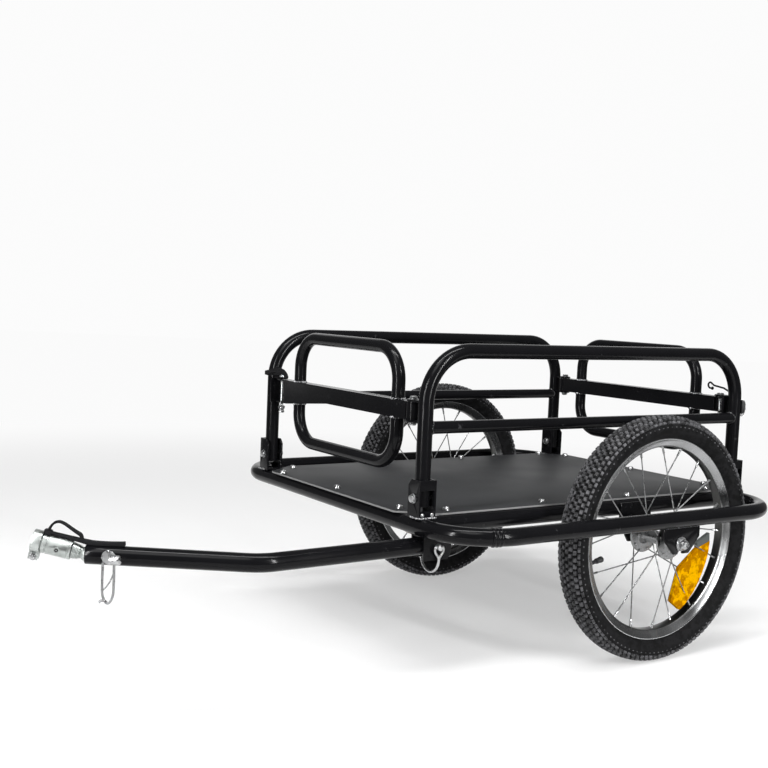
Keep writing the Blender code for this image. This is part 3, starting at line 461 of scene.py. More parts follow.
def bent_tube(name, corners, radius, bend, finish, body, nodes):
    """A tube through its corner points, in the place of its CAD nodes."""
    mesh = tube_bender.run(path_mesh(corners), Bend=bend, Radius=radius, Steps=16, Sides=32, Finish=finish)
    return place_piece(name, cleaned(mesh), None, body, nodes)


print("tube bender nodes", len(tube_bender.tree.nodes))

# %% [markdown]
# The second recipe copies one object round the wheel's axle. It makes everything on a wheel that
# repeats: tread blocks, spokes, their nipples and heads. The third puts an object on every corner of a
# mesh with a random turn about its own axis, from a fixed seed, as screws never stop at the same angle.

# %% Rings and scatters
round_axle = Recipe("round_axle", Copy="Object", Count="Int", Start="Float")
spots = round_axle.node("GeometryNodePoints", sockets={"Count": round_axle["Count"]})
share = round_axle.node("ShaderNodeMath", {"operation": "DIVIDE"}, {0: 2 * math.pi, 1: round_axle["Count"]})
number = round_axle.node("GeometryNodeInputIndex")
angle = round_axle.node("ShaderNodeMath", {"operation": "MULTIPLY_ADD"}, {
    0: number, 1: share, 2: round_axle["Start"]})
spin = round_axle.node("ShaderNodeCombineXYZ", sockets={"Y": angle})
model = round_axle.node("GeometryNodeObjectInfo", {"transform_space": "ORIGINAL"}, {
    "Object": round_axle["Copy"]}, "Geometry")
round_axle.finish(round_axle.node("GeometryNodeInstanceOnPoints", sockets={
    "Points": spots, "Instance": model, "Rotation": spin}))

scatter = Recipe("scatter", Copy="Object", Turn="Vector", Seed="Int")
model = scatter.node("GeometryNodeObjectInfo", {"transform_space": "ORIGINAL"}, {
    "Object": scatter["Copy"]}, "Geometry")
spin = scatter.node("FunctionNodeRandomValue", {"data_type": "FLOAT_VECTOR"}, {
    "Min": (0, 0, 0), "Max": scatter["Turn"], "Seed": scatter["Seed"]})
scatter.finish(scatter.node("GeometryNodeInstanceOnPoints", sockets={
    "Points": scatter["Geometry"], "Instance": model, "Rotation": spin}))


def pattern(name, shape):
    """A helper object that a recipe copies; it is removed when all copies are made."""
    piece = bpy.data.objects.new(name, solid_mesh(shape))
    piece.data.shade_smooth()
    patterns.append(piece)
    return piece


patterns = []
print("ring and scatter nodes", len(round_axle.tree.nodes), len(scatter.tree.nodes))

# %% [markdown]
# The fourth recipe lays weld beads: overlapping drops along a path, each a little different in size.

# %% The welder
welder = Recipe("welder", Spacing="Float", Bead="Float", Seed="Int")
line = welder.node("GeometryNodeMeshToCurve", sockets={"Mesh": welder["Geometry"]})
drops = welder.node("GeometryNodeResampleCurve", {"mode": "LENGTH"}, {"Curve": line, "Length": welder["Spacing"]})
drop = welder.node("GeometryNodeMeshIcoSphere", sockets={"Radius": welder["Bead"], "Subdivisions": 2})
wide = welder.node("FunctionNodeRandomValue", {"data_type": "FLOAT_VECTOR"}, {
    "Min": (0.55, 0.85, 0.85), "Max": (0.75, 1.15, 1.10), "Seed": welder["Seed"]})
way = welder.node("GeometryNodeInputTangent")
lie = welder.node("FunctionNodeAlignRotationToVector", {"axis": "X"}, {"Vector": way})
welder.finish(welder.node("GeometryNodeInstanceOnPoints", sockets={
    "Points": drops, "Instance": drop, "Rotation": lie, "Scale": wide}))


def welds(name, paths, finish, body, bead=0.0017, closed=True, seed=3):
    """Weld beads along paths, on a body."""
    mesh = welder.run(path_mesh(*paths, closed=closed), Spacing=bead * 1.15, Bead=bead, Seed=seed, Finish=finish)
    return place_piece(name, mesh, None, body, crease=80)


print("recipes", [group.name for group in bpy.data.node_groups])

# %% [markdown]
# ## Finishes
# A finish is a node tree too. The wrapper below lets the sums be written as plain Python: adding two
# amounts makes an Add node. Only the colour, roughness, metal, glow and bump vary over a surface.

# %% Shader arithmetic
class Amount:
    """A number, colour or vector that varies over a surface."""

    def __init__(self, finish, socket):
        self.finish, self.socket = finish, socket

    def sum(self, operation, *values):
        """A Math node on this and other values."""
        return self.finish.node("Math", {"operation": operation}, dict(enumerate(values)))

    def __add__(self, other):
        return self.sum("ADD", self, other)

    def __sub__(self, other):
        return self.sum("SUBTRACT", self, other)

    def __rsub__(self, other):
        return self.sum("SUBTRACT", other, self)

    def __mul__(self, other):
        return self.sum("MULTIPLY", self, other)

    def __abs__(self):
        return self.sum("ABSOLUTE", self)

    __radd__, __rmul__ = __add__, __mul__


print("an amount can be added, subtracted and multiplied")

# %% [markdown]
# A finish holds the material and has one method for any node: its kind, its settings, then the values or
# links of its sockets. The other methods are short names for what most finishes use.

# %% Finish maker
class Finish:
    """A Principled material with a shorthand for its nodes."""

    def __init__(self, name, colour, roughness, metallic=0.0):
        self.material = bpy.data.materials.new(name)
        self.material.use_nodes = True
        self.tree = self.material.node_tree
        self.shader = self.tree.nodes["Principled BSDF"]
        self.set(**{"Base Color": (*colour, 1), "Roughness": roughness, "Metallic": metallic})
        self.place = self.node("TexCoord", out="Object")

    def node(self, kind, settings=None, sockets=None, out=0):
        """Any node: its kind, its settings, then its sockets."""
        made = self.tree.nodes.new("ShaderNode" + kind)
        for key, value in (settings or {}).items():
            setattr(made, key, value)
        for key, value in (sockets or {}).items():
            self.feed(in_use(made.inputs, key), value)
        return Amount(self, in_use(made.outputs, out))

    def feed(self, target, value):
        """Links an amount to a socket, or sets a plain value."""
        if isinstance(value, Amount):
            self.tree.links.new(value.socket, target)
        else:
            target.default_value = value

    def set(self, **sockets):
        """Feeds inputs of the main shader."""
        for key, value in sockets.items():
            self.feed(self.shader.inputs[key], value)
        return self

    def noise(self, scale, detail=3, where=None, rough=0.5):
        """Cloudy noise on the object's coordinates."""
        return self.node("TexNoise", sockets={
            "Vector": where or self.place, "Scale": scale, "Detail": detail, "Roughness": rough})

    def band(self, amount, low, high, first=0.0, last=1.0):
        """A smooth step between two levels of an amount."""
        return self.node("MapRange", {"interpolation_type": "SMOOTHSTEP"}, {
            "Value": amount, "From Min": low, "From Max": high, "To Min": first, "To Max": last})

    def mix(self, first, second, amount):
        """A colour between two colours."""
        return self.node("Mix", {"data_type": "RGBA"}, {
            "Factor": amount, "A": (*first, 1) if isinstance(first, tuple) else first,
            "B": (*second, 1) if isinstance(second, tuple) else second}, "Result")

    def axes(self, vector=None):
        """The three parts of a vector."""
        split = self.node("SeparateXYZ", sockets={0: vector or self.place}, out="X")
        parts = split.socket.node.outputs
        return [Amount(self, parts[n]) for n in range(3)]

    def stretched(self, scale):
        """Object coordinates scaled differently along each axis, for grain."""
        return self.node("Mapping", sockets={"Vector": self.place, "Scale": scale})

    def bump(self, height, depth, strength=1.0):
        """Fine relief from an amount, with its depth in metres."""
        relief = self.node("Bump", sockets={"Height": height, "Distance": depth, "Strength": strength})
        return self.set(Normal=relief)


print("a finish starts from", Finish.__doc__)

# %% [markdown]
# The tubes are powder coated: a semi-gloss black with a very fine orange peel, a little dust, and small
# rubbed places. Board, rubber, zinc and alloy follow, each with the grain that its making leaves.

# %% Coats and metals
coat = Finish("powder_coat", (0.006, 0.006, 0.007), 0.18)
coat.set(**{"Specular IOR Level": 0.13})
cloud = coat.noise(9.0, 4)
rubbed = coat.band(coat.noise(55.0, 5, rough=0.65), 0.66, 0.74)
coat.set(**{
    "Base Color": coat.mix(coat.mix((0.003, 0.003, 0.0035), (0.006, 0.006, 0.007), cloud), (0.03, 0.03, 0.032), rubbed),
    "Roughness": coat.band(cloud, 0.3, 0.7, 0.14, 0.21) + rubbed * 0.12})
coat.bump(coat.noise(1500.0, 2), 0.00003, 0.4)


def weld_finish(name, threshold):
    """Powder coated weld beads; above the threshold of a noise, bare metal shows as pale grey flecks, which are partly
    wear and partly painted glints.
    """
    made = Finish(name, (0.02, 0.02, 0.021), 0.28)
    bare_fleck_and_glint = made.band(made.noise(420.0, 3), threshold, threshold + 0.08)
    # The flecks are pale and barely metallic, so besides bare metal they are painted glints on the welds.
    made.set(**{"Base Color": made.mix((0.010, 0.010, 0.011), (0.62, 0.62, 0.64), bare_fleck_and_glint), "Metallic": bare_fleck_and_glint * 0.2})
    return made.bump(made.noise(900.0, 3), 0.0002)


bead, rubbed_glint_bead = weld_finish("painted_weld", 0.62), weld_finish("rubbed_weld_painted_glints", 0.50)


def plated(name, dark, light):
    """Zinc plate between two greys, with the fine spangle of its crystals."""
    made = Finish(name, (light, light, light), 0.26, 1.0)
    spangle = made.noise(160.0, 4)
    made.set(**{
        "Base Color": made.mix((dark * 0.98, dark * 0.99, dark), (light * 0.98, light * 0.99, light), spangle),
        "Roughness": made.band(spangle, 0.3, 0.7, 0.24, 0.36)})
    return made.bump(made.noise(1100.0, 2), 0.00003, 0.3)


zinc, wire_zinc = plated("zinc_plate", 0.34, 0.60), plated("zinc_wire", 0.18, 0.40)

alloy = Finish("satin_alloy", (0.60, 0.62, 0.60), 0.34, 1.0)
along = alloy.node("VectorMath", {"operation": "DOT_PRODUCT"}, {0: alloy.place, 1: tuple(HITCH)}, out="Value")
lines = alloy.node("TexNoise", {"noise_dimensions": "1D"}, {"W": along, "Scale": 2600.0, "Detail": 2})
tarnish = alloy.band(alloy.noise(60.0, 5, rough=0.65), 0.32, 0.68)
alloy.set(**{
    "Base Color": alloy.mix((0.325, 0.347, 0.334), (0.505, 0.532, 0.518), tarnish),
    "Roughness": alloy.band(tarnish, 0.3, 0.7, 0.27, 0.42) + lines * 0.06})
alloy.bump(lines, 0.00005, 0.7)
print("powder coat and alloy nodes", len(coat.tree.nodes), len(alloy.tree.nodes))

# %% [markdown]
# The rim is rolled and polished, so its fine lines run round the axle. The distance from the axle is
# worked out from the object coordinates, which are the same for both wheels.

# %% Rim, rubber and board
rim_metal = Finish("rim_alloy", (0.36, 0.365, 0.37), 0.26, 1.0)
x, y, z = rim_metal.axes()
reach = rim_metal.node("Math", {"operation": "SQRT"}, {0: (x - AXLE_X) * (x - AXLE_X) + (z - AXLE_Z) * (z - AXLE_Z)})
flank = abs(abs(y) - WHEEL_Y)
lines = rim_metal.node("TexNoise", {"noise_dimensions": "1D"}, {"W": reach + flank, "Scale": 3200.0, "Detail": 2})
haze = rim_metal.noise(22.0, 4)
# Painted shade: the deep rim bed is coloured nearly black for the shade and dark reflections inside it.
bed_painted_shade = rim_metal.band(reach, 0.1480, 0.1470)
# Painted highlight: the rim's outer lip is coloured pale grey as a bright edge line.
lip = rim_metal.band(reach, 0.1592, 0.1600)
sides = rim_metal.mix((0.20, 0.20, 0.20), (0.38, 0.385, 0.39), rim_metal.band(rim_metal.noise(7.0, 3), 0.38, 0.62))
rim_metal.set(**{
    "Base Color": rim_metal.mix(rim_metal.mix(sides, (0.075, 0.075, 0.072), bed_painted_shade * 0.9), (0.66, 0.67, 0.68), lip),
    "Roughness": rim_metal.band(haze, 0.3, 0.7, 0.20, 0.30) + bed_painted_shade * 0.10})
rim_metal.bump(lines, 0.00002, 0.25)


def rubber_finish(name, dark, light, level, smoothest):
    """Rubber between two greys, with dust in patches."""
    made = Finish(name, (light, light, light), 0.72)
    made.set(**{"Specular IOR Level": level})
    dust = made.noise(110.0, 5, rough=0.6)
    made.set(**{
        "Base Color": made.mix((dark, dark, dark * 1.05), (light, light, light * 1.06), made.band(dust, 0.40, 0.60)),
        "Roughness": made.band(dust, 0.3, 0.7, smoothest, smoothest + 0.2)})
    return made.bump(made.noise(900.0, 3), 0.00015, 0.6)


rubber = rubber_finish("side_rubber", dark=0.005, light=0.012, level=0.08, smoothest=0.62)
# The tread is a lighter copy of the rubber: partly dust, partly a painted sheen for the highlights on its blocks.
tread_dust_and_sheen = rubber_finish("tread_dust_and_sheen", dark=0.022, light=0.095, level=0.30, smoothest=0.45)

board = Finish("deck_board", (0.029, 0.030, 0.031), 0.56)
board.set(**{"Specular IOR Level": 0.15})
grain = board.noise(1.0, 3, where=board.stretched((260, 900, 260)))
stain = board.noise(3.2, 4)
board.set(**{
    "Base Color": board.mix(board.mix((0.020, 0.021, 0.022), (0.030, 0.031, 0.033), stain), (0.046, 0.046, 0.048),
                            board.band(grain, 0.55, 0.8) * 0.35),
    "Roughness": board.band(stain, 0.3, 0.7, 0.48, 0.62)})
board.bump(grain + board.noise(1400.0, 2) * 0.6, 0.00008, 0.7)

trim = Finish("board_edge", (0.20, 0.20, 0.20), 0.5)
trim.bump(trim.noise(700.0, 2), 0.00005)
print("rim and board nodes", len(rim_metal.tree.nodes), len(board.tree.nodes))

# %% [markdown]
# Amber plastic is moulded with rows of tiny prisms behind a smooth face. A cell pattern changes its
# colour and its bump a little from prism to prism. Webbing is woven, so its pattern follows the strap's
# own UV map, which runs in metres along and across it.

# %% Plastics and webbing
amber = Finish("amber_lens", (0.70, 0.30, 0.0), 0.24)
amber.set(**{"Specular IOR Level": 0.0})
cells, tilt = (amber.node("TexVoronoi", {"feature": "F1"}, {"Vector": amber.place, "Scale": 420.0}, out=out)
               for out in ("Distance", "Color"))
shade = amber.axes(tilt)[0] * 0.25 + amber.band(amber.noise(85.0, 3), 0.45, 0.60) * 0.75
amber.set(**{
    "Base Color": amber.mix((0.34, 0.12, 0.0), (0.82, 0.42, 0.0), shade),
    # Painted glow: a faint emission makes the lens shine as its retroreflection would, though it is no lamp.
    "Emission Color": amber.mix((0.70, 0.26, 0.0), (1.0, 0.50, 0.0), shade),
    "Emission Strength": 0.05})
amber.bump(cells, 0.0004, 0.4)

grey_back = Finish("reflector_back", (0.085, 0.095, 0.092), 0.42)
grey_back.bump(grey_back.noise(900.0, 2), 0.0001)

plastic = Finish("black_plastic", (0.016, 0.016, 0.017), 0.42)
plastic.set(**{"Specular IOR Level": 0.25})
plastic.set(Roughness=plastic.band(plastic.noise(60.0, 3), 0.3, 0.7, 0.36, 0.50))
plastic.bump(plastic.noise(1600.0, 2), 0.00008, 0.6)

webbing = Finish("black_webbing", (0.007, 0.007, 0.008), 0.82)
webbing.set(**{"Specular IOR Level": 0.15})
uv = webbing.node("TexCoord", out="UV")
u, v, _ = webbing.axes(uv)
warp = webbing.node("Math", {"operation": "SINE"}, {0: u * 4200.0})
weft = webbing.node("Math", {"operation": "SINE"}, {0: v * 5200.0})
weave = webbing.band(warp * weft, -0.6, 0.6)
webbing.set(**{
    "Base Color": webbing.mix((0.004, 0.004, 0.005), (0.012, 0.012, 0.013), weave),
    "Roughness": webbing.band(weave, 0.0, 1.0, 0.88, 0.72)})
webbing.bump(weave, 0.0002, 0.8)
print("finishes made, from", coat.material.name, "to", webbing.material.name)

# %% [markdown]
# ## The lanyard
# A short cord keeps the rear latch pin on the trailer: it comes out of the post, makes one small loop and ends in a
# knot.

# %% Lanyard
def rounded_route(corners, radius, steps):
    """A polyline whose inner corners are arcs of the given radius."""
    corners = [Vector(corner) for corner in corners]
    route = [corners[0]]
    for before, corner, after in zip(corners, corners[1:], corners[2:]):
        back, on = (before - corner).normalized(), (after - corner).normalized()
        half = back.angle(on) / 2
        centre = corner + (back + on).normalized() * (radius / math.sin(half))
        start = corner + back * (radius / math.tan(half)) - centre
        axis = start.cross(corner + on * (radius / math.tan(half)) - centre).normalized()
        route += [centre + Matrix.Rotation((math.pi - 2 * half) * n / steps, 3, axis) @ start
                  for n in range(steps + 1)]
    return route + [corners[-1]]


def run_length(points):
    """The length of a polyline."""
    return sum((b - a).length for a, b in zip(points, points[1:]))


post = POST_X["rear"]
cord_start = SIDE_Y - POST_TUBE - 0.0008
route = rounded_route([
    (post + 0.0006, cord_start, 0.4200), (post - 0.001, 0.2060, 0.4250), (post - 0.002, 0.1830, 0.4280),
    (post - 0.003, 0.1735, 0.4335), (post - 0.005, 0.1665, 0.4290), (post - 0.005, 0.1700, 0.4225),
    (post - 0.004, 0.1780, 0.4225)], 0.004, 5)
cord_radius = 0.0016
lanyard = place_piece("rear_lanyard", solid_mesh(swept(route, round_section(cord_radius, 12))),
                      webbing.material, "left_side", "rear_pin_lanyard", crease=60)
knot_heart = turned([(0, -0.0026), (0.0018, -0.0021), (0.0026, 0), (0.0018, 0.0021), (0, 0.0026)], 14)
knot_turns = [route[-1] + Vector((0.0022 * math.cos(a / 3), 0.0006 * math.sin(a), 0.0022 * math.sin(a / 3)))
              for a in range(19)]
knot = place_piece("lanyard_knot", solid_mesh(joined(
    (knot_heart, at(route[-1], Y)), (swept(knot_turns, round_section(0.0009, 8)), Matrix()))),
    webbing.material, "left_side", crease=80)
route[0] + Vector((AXLE_X, 0, 0))
run_length(route)
[p + Vector((AXLE_X, 0, 0)) for p in route]
for soft in (lanyard, knot):
    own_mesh(soft)
print("lanyard", round(run_length(route) * 1000, 1), "mm long")

# %% [markdown]
# ## The tubular chassis
# The outer loop is two bent halves, and a swaged mouth with ridges shows where they meet, on the front
# bend. Two rails and two cross members are welded inside it. The tube bender makes them from their corners.

# %% Loop, rails and cross members
black = coat.material
SEAM_GAP, MOUTH_TURN = 0.0002, 0.440
CROSS_X = {"axle": 0.0, "front": 0.210}
for name, seam, end in (("front_bumper", SEAM_X - SEAM_GAP, LOOP_FRONT), ("rear_bumper", SEAM_X, LOOP_REAR)):
    corners = [(x, y, FRAME_Z) for x, y in ((seam, LOOP_Y), (end, LOOP_Y), (end, -LOOP_Y), (seam, -LOOP_Y))]
    bent_tube(name, corners, TUBE, LOOP_BEND, black, "chassis", name + "_tube")
mouth = [(0.0128, 0.0), (0.0138, 0.0004), (0.0140, 0.0020), (0.0139, 0.0036), (0.0131, 0.0046), (0.0131, 0.0056),
         (0.0138, 0.0066), (0.0138, 0.0086), (0.0131, 0.0096), (0.0131, 0.0106), (0.0136, 0.0116),
         (0.0134, 0.0134), (0.0127, 0.0150)]


def round_the_bend(shape, sign, start):
    """A turned shape laid along the loop's front bend, backwards from an angle off the straight."""
    corners = []
    for corner in shape[0]:
        angle, out = start - corner.z / LOOP_BEND, LOOP_BEND + corner.x
        corners.append(Vector((LOOP_FRONT - LOOP_BEND + out * math.sin(angle),
                               sign * (LOOP_Y - LOOP_BEND + out * math.cos(angle)), FRAME_Z + corner.y)))
    return corners, shape[1]


place_piece("bumper_mouths", solid_mesh(joined(*[
    (round_the_bend(turned(mouth, 40), sign, MOUTH_TURN), Matrix()) for sign in SIDES.values()])),
    black, "chassis", crease=50)
for name, sign in SIDES.items():
    bent_tube(name + "_rail", [(LOOP_REAR, sign * RAIL_Y, FRAME_Z), (LOOP_FRONT, sign * RAIL_Y, FRAME_Z)],
              TUBE, 0.0, black, "chassis", name + "_inner_rail")
for name, x in CROSS_X.items():
    bent_tube(name + "_cross_member_tube", [(x, -RAIL_Y, FRAME_Z), (x, RAIL_Y, FRAME_Z)],
              CROSS_TUBE, 0.0, black, "chassis", name + "_cross_member")
print("bent tubes made")

# %% [markdown]
# A tube that meets another one ends in a saddle, and the weld runs along it. The saddle of a small tube on
# a large one has a simple rule: how far each point stands back depends on its height over the middle.

# %% Welds of the chassis
def saddle(centre, along, small, large, axis):
    """A closed path where a tube along one direction meets the flank of a larger one."""
    along, axis = Vector(along), Vector(axis)
    third = along.cross(axis)
    path = []
    for step in range(28):
        angle = 2 * math.pi * step / 28
        a, b = small * math.cos(angle), small * math.sin(angle)
        back = math.sqrt(max(large * large - b * b, 0))
        path.append(Vector(centre) + along * (back + 0.0006) + axis * a + third * b)
    return path


paths = []
for sign in SIDES.values():
    paths += [saddle((LOOP_FRONT, sign * RAIL_Y, FRAME_Z), -X, TUBE, TUBE, Y),
              saddle((LOOP_REAR, sign * RAIL_Y, FRAME_Z), X, TUBE, TUBE, Y)]
    paths += [saddle((x, sign * RAIL_Y, FRAME_Z), -sign * Y, CROSS_TUBE, TUBE, X) for x in CROSS_X.values()]
welds("chassis_welds", paths, bead.material, "chassis")
seams = []
for sign in SIDES.values():
    for y, reach in ((LOOP_Y, 0.036), (RAIL_Y + 0.0130, 0.033)):
        for side in (-1, 1):
            level = 0.2222 if y > 0.3 else FRAME_Z + 0.002
            seams.append([Vector((x, sign * y + side * 0.0026, level)) for x in (-reach, 0, reach)])
welds("axle_plate_welds", seams, bead.material, "chassis", bead=0.0013, closed=False, seed=8)
print("weld runs on the chassis", len(paths) + len(seams))

# %% [markdown]
# ## The deck
# The deck is a thin cut-cornered board with a pale cut edge, held down by pan-head screws. The edge is a
# second material on the narrow faces, because it runs all round at one height.

# %% Deck board
DECK_FRONT, DECK_REAR, DECK_HALF, DECK_THICK = 0.437, -0.254, 0.2325, 0.003
half = [(DECK_FRONT, 0.190), (0.3825, DECK_HALF), (-0.2105, DECK_HALF), (DECK_REAR, 0.189)]
deck_outline = half + [(x, -y) for x, y in reversed(half)]
deck_mesh = rounded(solid_mesh(prism(deck_outline, DECK_TOP - DECK_THICK, DECK_TOP)), 0.0005)
deck = place_piece("deck_panel", deck_mesh, board.material, "chassis", "deck_board")
deck.data.materials.append(trim.material)
for face in deck.data.polygons:
    if abs(face.normal.z) < 0.6:
        face.material_index = 1
print("deck faces", len(deck.data.polygons))

# %% [markdown]
# The screw is turned from a profile. Its cross slot is pushed into the middle of the head by the shape
# of the rings themselves, so it is real relief and not a picture of one.

# %% Screws
def pan_head(radius, height):
    """A domed screw head with a cross slot."""
    profile = [(radius, 0), (radius, height * 0.3), (radius * 0.9, height * 0.72), (radius * 0.7, height * 0.95),
               (radius * 0.5, height), (radius * 0.28, height), (radius * 0.1, height)]
    corners, faces = turned(profile, 24)
    for number, corner in enumerate(corners):
        flat = math.hypot(corner.x, corner.y)
        turn = math.degrees(math.atan2(corner.y, corner.x)) % 90
        if flat < radius * 0.55 and min(turn, 90 - turn) < 16 or flat < radius * 0.12:
            corner.z -= height * 0.55
    return corners, faces


screw = pattern("pan_head", pan_head(0.0056, 0.0046))
screw_spots = [(x, y, DECK_TOP) for x, y in (
    (0.4288, -0.1653), (0.4176, -0.0030), (0.4183, 0.1769), (0.3850, -0.2099), (0.3614, 0.2146), (0.1753, 0.2146),
    (0.1800, -0.2220), (0.0003, -0.2236), (-0.0050, 0.2200), (-0.2000, -0.2220), (-0.1960, 0.2200),
    (-0.2400, -0.1850), (-0.2400, 0.0), (-0.2400, 0.1780))]
heads = scatter.run(path_mesh(*[[spot] for spot in screw_spots]), Copy=screw, Turn=(0, 0, 6.28), Seed=5,
                    Finish=zinc.material)
place_piece("deck_screws", heads, None, "chassis")
print("deck screws", len(screw_spots))

# %% [markdown]
# ## Brackets and their bolts
# The folded channels, plates and gate bars have the right shape already. They only need what a press
# leaves: slightly rounded edges, which catch the light. A copy of each solid is merged and bevelled.

# %% Plates and bars
for end in POST_X:
    for side in SIDES:
        softened(f"{end}_{side}_bracket", black, 0.0007)
for side in SIDES:
    softened(side + "_outer_axle_plate", black, 0.0007)
    softened(side + "_inner_axle_plate", black, 0.0007)
softened("drawbar_bracket", black, 0.0007)
for end in POST_X:
    softened(end + "_gate_bar", black, 0.0008, notch=end == "front")

# %% [markdown]
# Heads and threads are turned shapes too. A hexagon comes from a round head by drawing its radius in
# between the six corners.

# %% Heads and threads
def hexagon(flat):
    """A shape function that turns a round head into a hexagon with a chamfered crown."""
    def shape(angle, radius, height):
        turn = (angle + math.pi / 6) % (math.pi / 3) - math.pi / 6
        return min(radius, flat / math.cos(turn))
    return shape


def hex_head(corner, thick):
    """A hexagon head from its size over the corners."""
    flat = corner * math.cos(math.pi / 6)
    profile = [(0, 0), (flat * 0.98, 0), (corner, thick * 0.14), (corner, thick * 0.80), (flat * 0.98, thick * 0.98),
               (flat * 0.90, thick), (0, thick)]
    return turned(profile, 36, hexagon(flat))


def dome_head(radius, height):
    """A low round head, as on a rivet."""
    return turned([(0, 0), (radius, 0), (radius, height * 0.2), (radius * 0.92, height * 0.55),
                   (radius * 0.65, height * 0.88), (radius * 0.3, height), (0, height)], 28)


def screw_thread(radius, low, high, pitch=0.0010):
    """A rod with the ridges of a thread."""
    count = max(int((high - low) / pitch), 1)
    profile = [(0, low)]
    for n in range(count):
        z = low + n * pitch
        profile += [(radius * 0.90, z), (radius, z + pitch * 0.5)]
    return turned(profile + [(radius * 0.90, high), (0, high)], 20)


print("hexagon head corners", len(hex_head(0.0062, 0.0042)[0]))

# %% [markdown]
# The fold bolts are what each side turns on. A hexagon head and a self-locking nut sit outside the channel walls, with
# a washer under each.

# %% Fold bolts
def through_bolt(centre, axis, grip, head, thick, radius):
    """Head, washers, shank and locking nut of a bolt through walls."""
    half = grip / 2
    washer = turned([(0, 0), (head * 1.12, 0), (head * 1.12, 0.0008), (0, 0.0008)], 32)
    collar = turned([(0, 0), (head * 0.80, 0), (head * 0.76, 0.0012), (0, 0.0012)], 28)
    return joined(
        (turned([(0, -half), (radius, -half), (radius, half), (0, half)], 24), at(centre, axis)),
        (washer, at(centre + axis * half, axis)), (washer, at(centre - axis * half, -axis)),
        (hex_head(head, thick), at(centre + axis * (half + 0.0006), axis)),
        (hex_head(head, thick), at(centre - axis * (half + 0.0006), -axis)),
        (collar, at(centre - axis * (half + thick), -axis)))


for end, x in POST_X.items():
    for side, sign in SIDES.items():
        shape = through_bolt(Vector((x, sign * SIDE_Y, PIVOT_Z)), X, grip=0.0298, head=0.0062, thick=0.0042,
                             radius=0.0040)
        place_piece(f"{end}_{side}_bolt", solid_mesh(shape), zinc.material, "chassis",
                    f"{end}_{side}_fold_bolt")
for side, sign in SIDES.items():
    domes = [(dome_head(0.0030, 0.0016), at((x + shift, sign * 0.2457, 0.2525), sign * Y))
             for x in POST_X.values() for shift in (-0.0085, 0.0085)]
    place_piece(side + "_bracket_rivets", solid_mesh(joined(*domes)), zinc.material, "chassis")
    feet = [[Vector((x - 0.0150, sign * 0.2250, 0.2478)), Vector((x - 0.0150, sign * 0.2462, 0.2478)),
             Vector((x + 0.0150, sign * 0.2462, 0.2478)), Vector((x + 0.0150, sign * 0.2250, 0.2478))]
            for x in POST_X.values()]
    # These welds take the finish whose pale bare flecks are partly painted glints.
    welds(side + "_bracket_welds", feet, rubbed_glint_bead.material, "chassis", bead=0.0015, closed=False, seed=12)
print("fold bolts", len(POST_X) * len(SIDES))

# %% [markdown]
# ## Sides that fold in
# Each side is a hoop with a mid rail. Hinge ears and latch ears are flat plates welded on the posts.

# %% Side hoops
def arc(centre, radius, start, stop, steps):
    """Points on an arc between two angles in degrees."""
    return [(centre[0] + radius * math.cos(math.radians(start + (stop - start) * n / steps)),
             centre[1] + radius * math.sin(math.radians(start + (stop - start) * n / steps)))
            for n in range(steps + 1)]


EAR_THICK, EAR_HOLE = 0.003, 0.0036


def ear(x, sign, bottom):
    """A tapered plate from a post to the hinge or latch axis."""
    tip = arc((0, HINGE_Y), 0.010, 0, -180, 16)
    outline = tip + [(-0.010, 0.206), (-0.006, 0.2215), (-0.006, SIDE_Y), (0.006, SIDE_Y),
                     (0.006, 0.2215), (0.010, 0.206)]
    return prism([(x + px, sign * py) for px, py in outline], bottom, bottom + EAR_THICK)


for side, sign in SIDES.items():
    body = side + "_side"
    y = sign * SIDE_Y
    bent_tube(side + "_hoop", [(POST_X["front"], y, FOOT_Z), (POST_X["front"], y, SIDE_TOP),
              (POST_X["rear"], y, SIDE_TOP), (POST_X["rear"], y, FOOT_Z)],
              POST_TUBE, SIDE_BEND, black, body, side + "_side_hoop")
    bent_tube(side + "_rail_bar", [(POST_X["rear"], y, MID_Z), (POST_X["front"], y, MID_Z)],
              MID_TUBE, 0.0, black, body, side + "_mid_rail")
    plates = []
    for end, x in POST_X.items():
        if HINGE_SIDE[end] == side:
            plates += [ear(x, sign, BAR_TOP + 0.0003), ear(x, sign, BAR_BOTTOM - 0.0033)]
        else:
            plates.append(ear(x, sign, BAR_TOP + 0.0004))
            inside, outside = sorted((sign * 0.2148, sign * 0.2172))
            low = BAR_BOTTOM - LATCH_DROP[end] - 0.001
            plates.append(prism([(x - 0.008, inside), (x + 0.014, inside), (x + 0.014, outside), (x - 0.008, outside)],
                                low, BAR_TOP + 0.0006))
    ears = solid_mesh(joined(*[(plate, Matrix()) for plate in plates]))
    for end, x in POST_X.items():
        if HINGE_SIDE[end] != side:
            drill = turned([(0, -0.004), (EAR_HOLE, -0.004), (EAR_HOLE, 0.004), (0, 0.004)], 28)
            ears = cut_away(ears, joined((drill, at((x, sign * HINGE_Y, BAR_TOP + 0.002)))))
    place_piece(side + "_ears", ears, black, body, edge=0.0005)
    welds(side + "_side_welds", [
        saddle((POST_X["front"], y, MID_Z), -X, MID_TUBE, POST_TUBE, Z),
        saddle((POST_X["rear"], y, MID_Z), X, MID_TUBE, POST_TUBE, Z)], bead.material, body, bead=0.0014)
print("sides made")

# %% [markdown]
# ## Gates
# Each gate is a hollow bar with a tube hoop above and one below. The welds at the feet of the hoops show
# as small bright beads in the photograph.

# %% Gates, hinge bolts and latch pins
def bar_floor(end, y):
    """The height of a gate bar's underside, which goes down towards the latch where the bar flares."""
    share = (-y * SIDES[HINGE_SIDE[end]] - DROP_START) / (DROP_END - DROP_START)
    return BAR_BOTTOM - LATCH_DROP[end] * min(max(share, 0.0), 1.0)


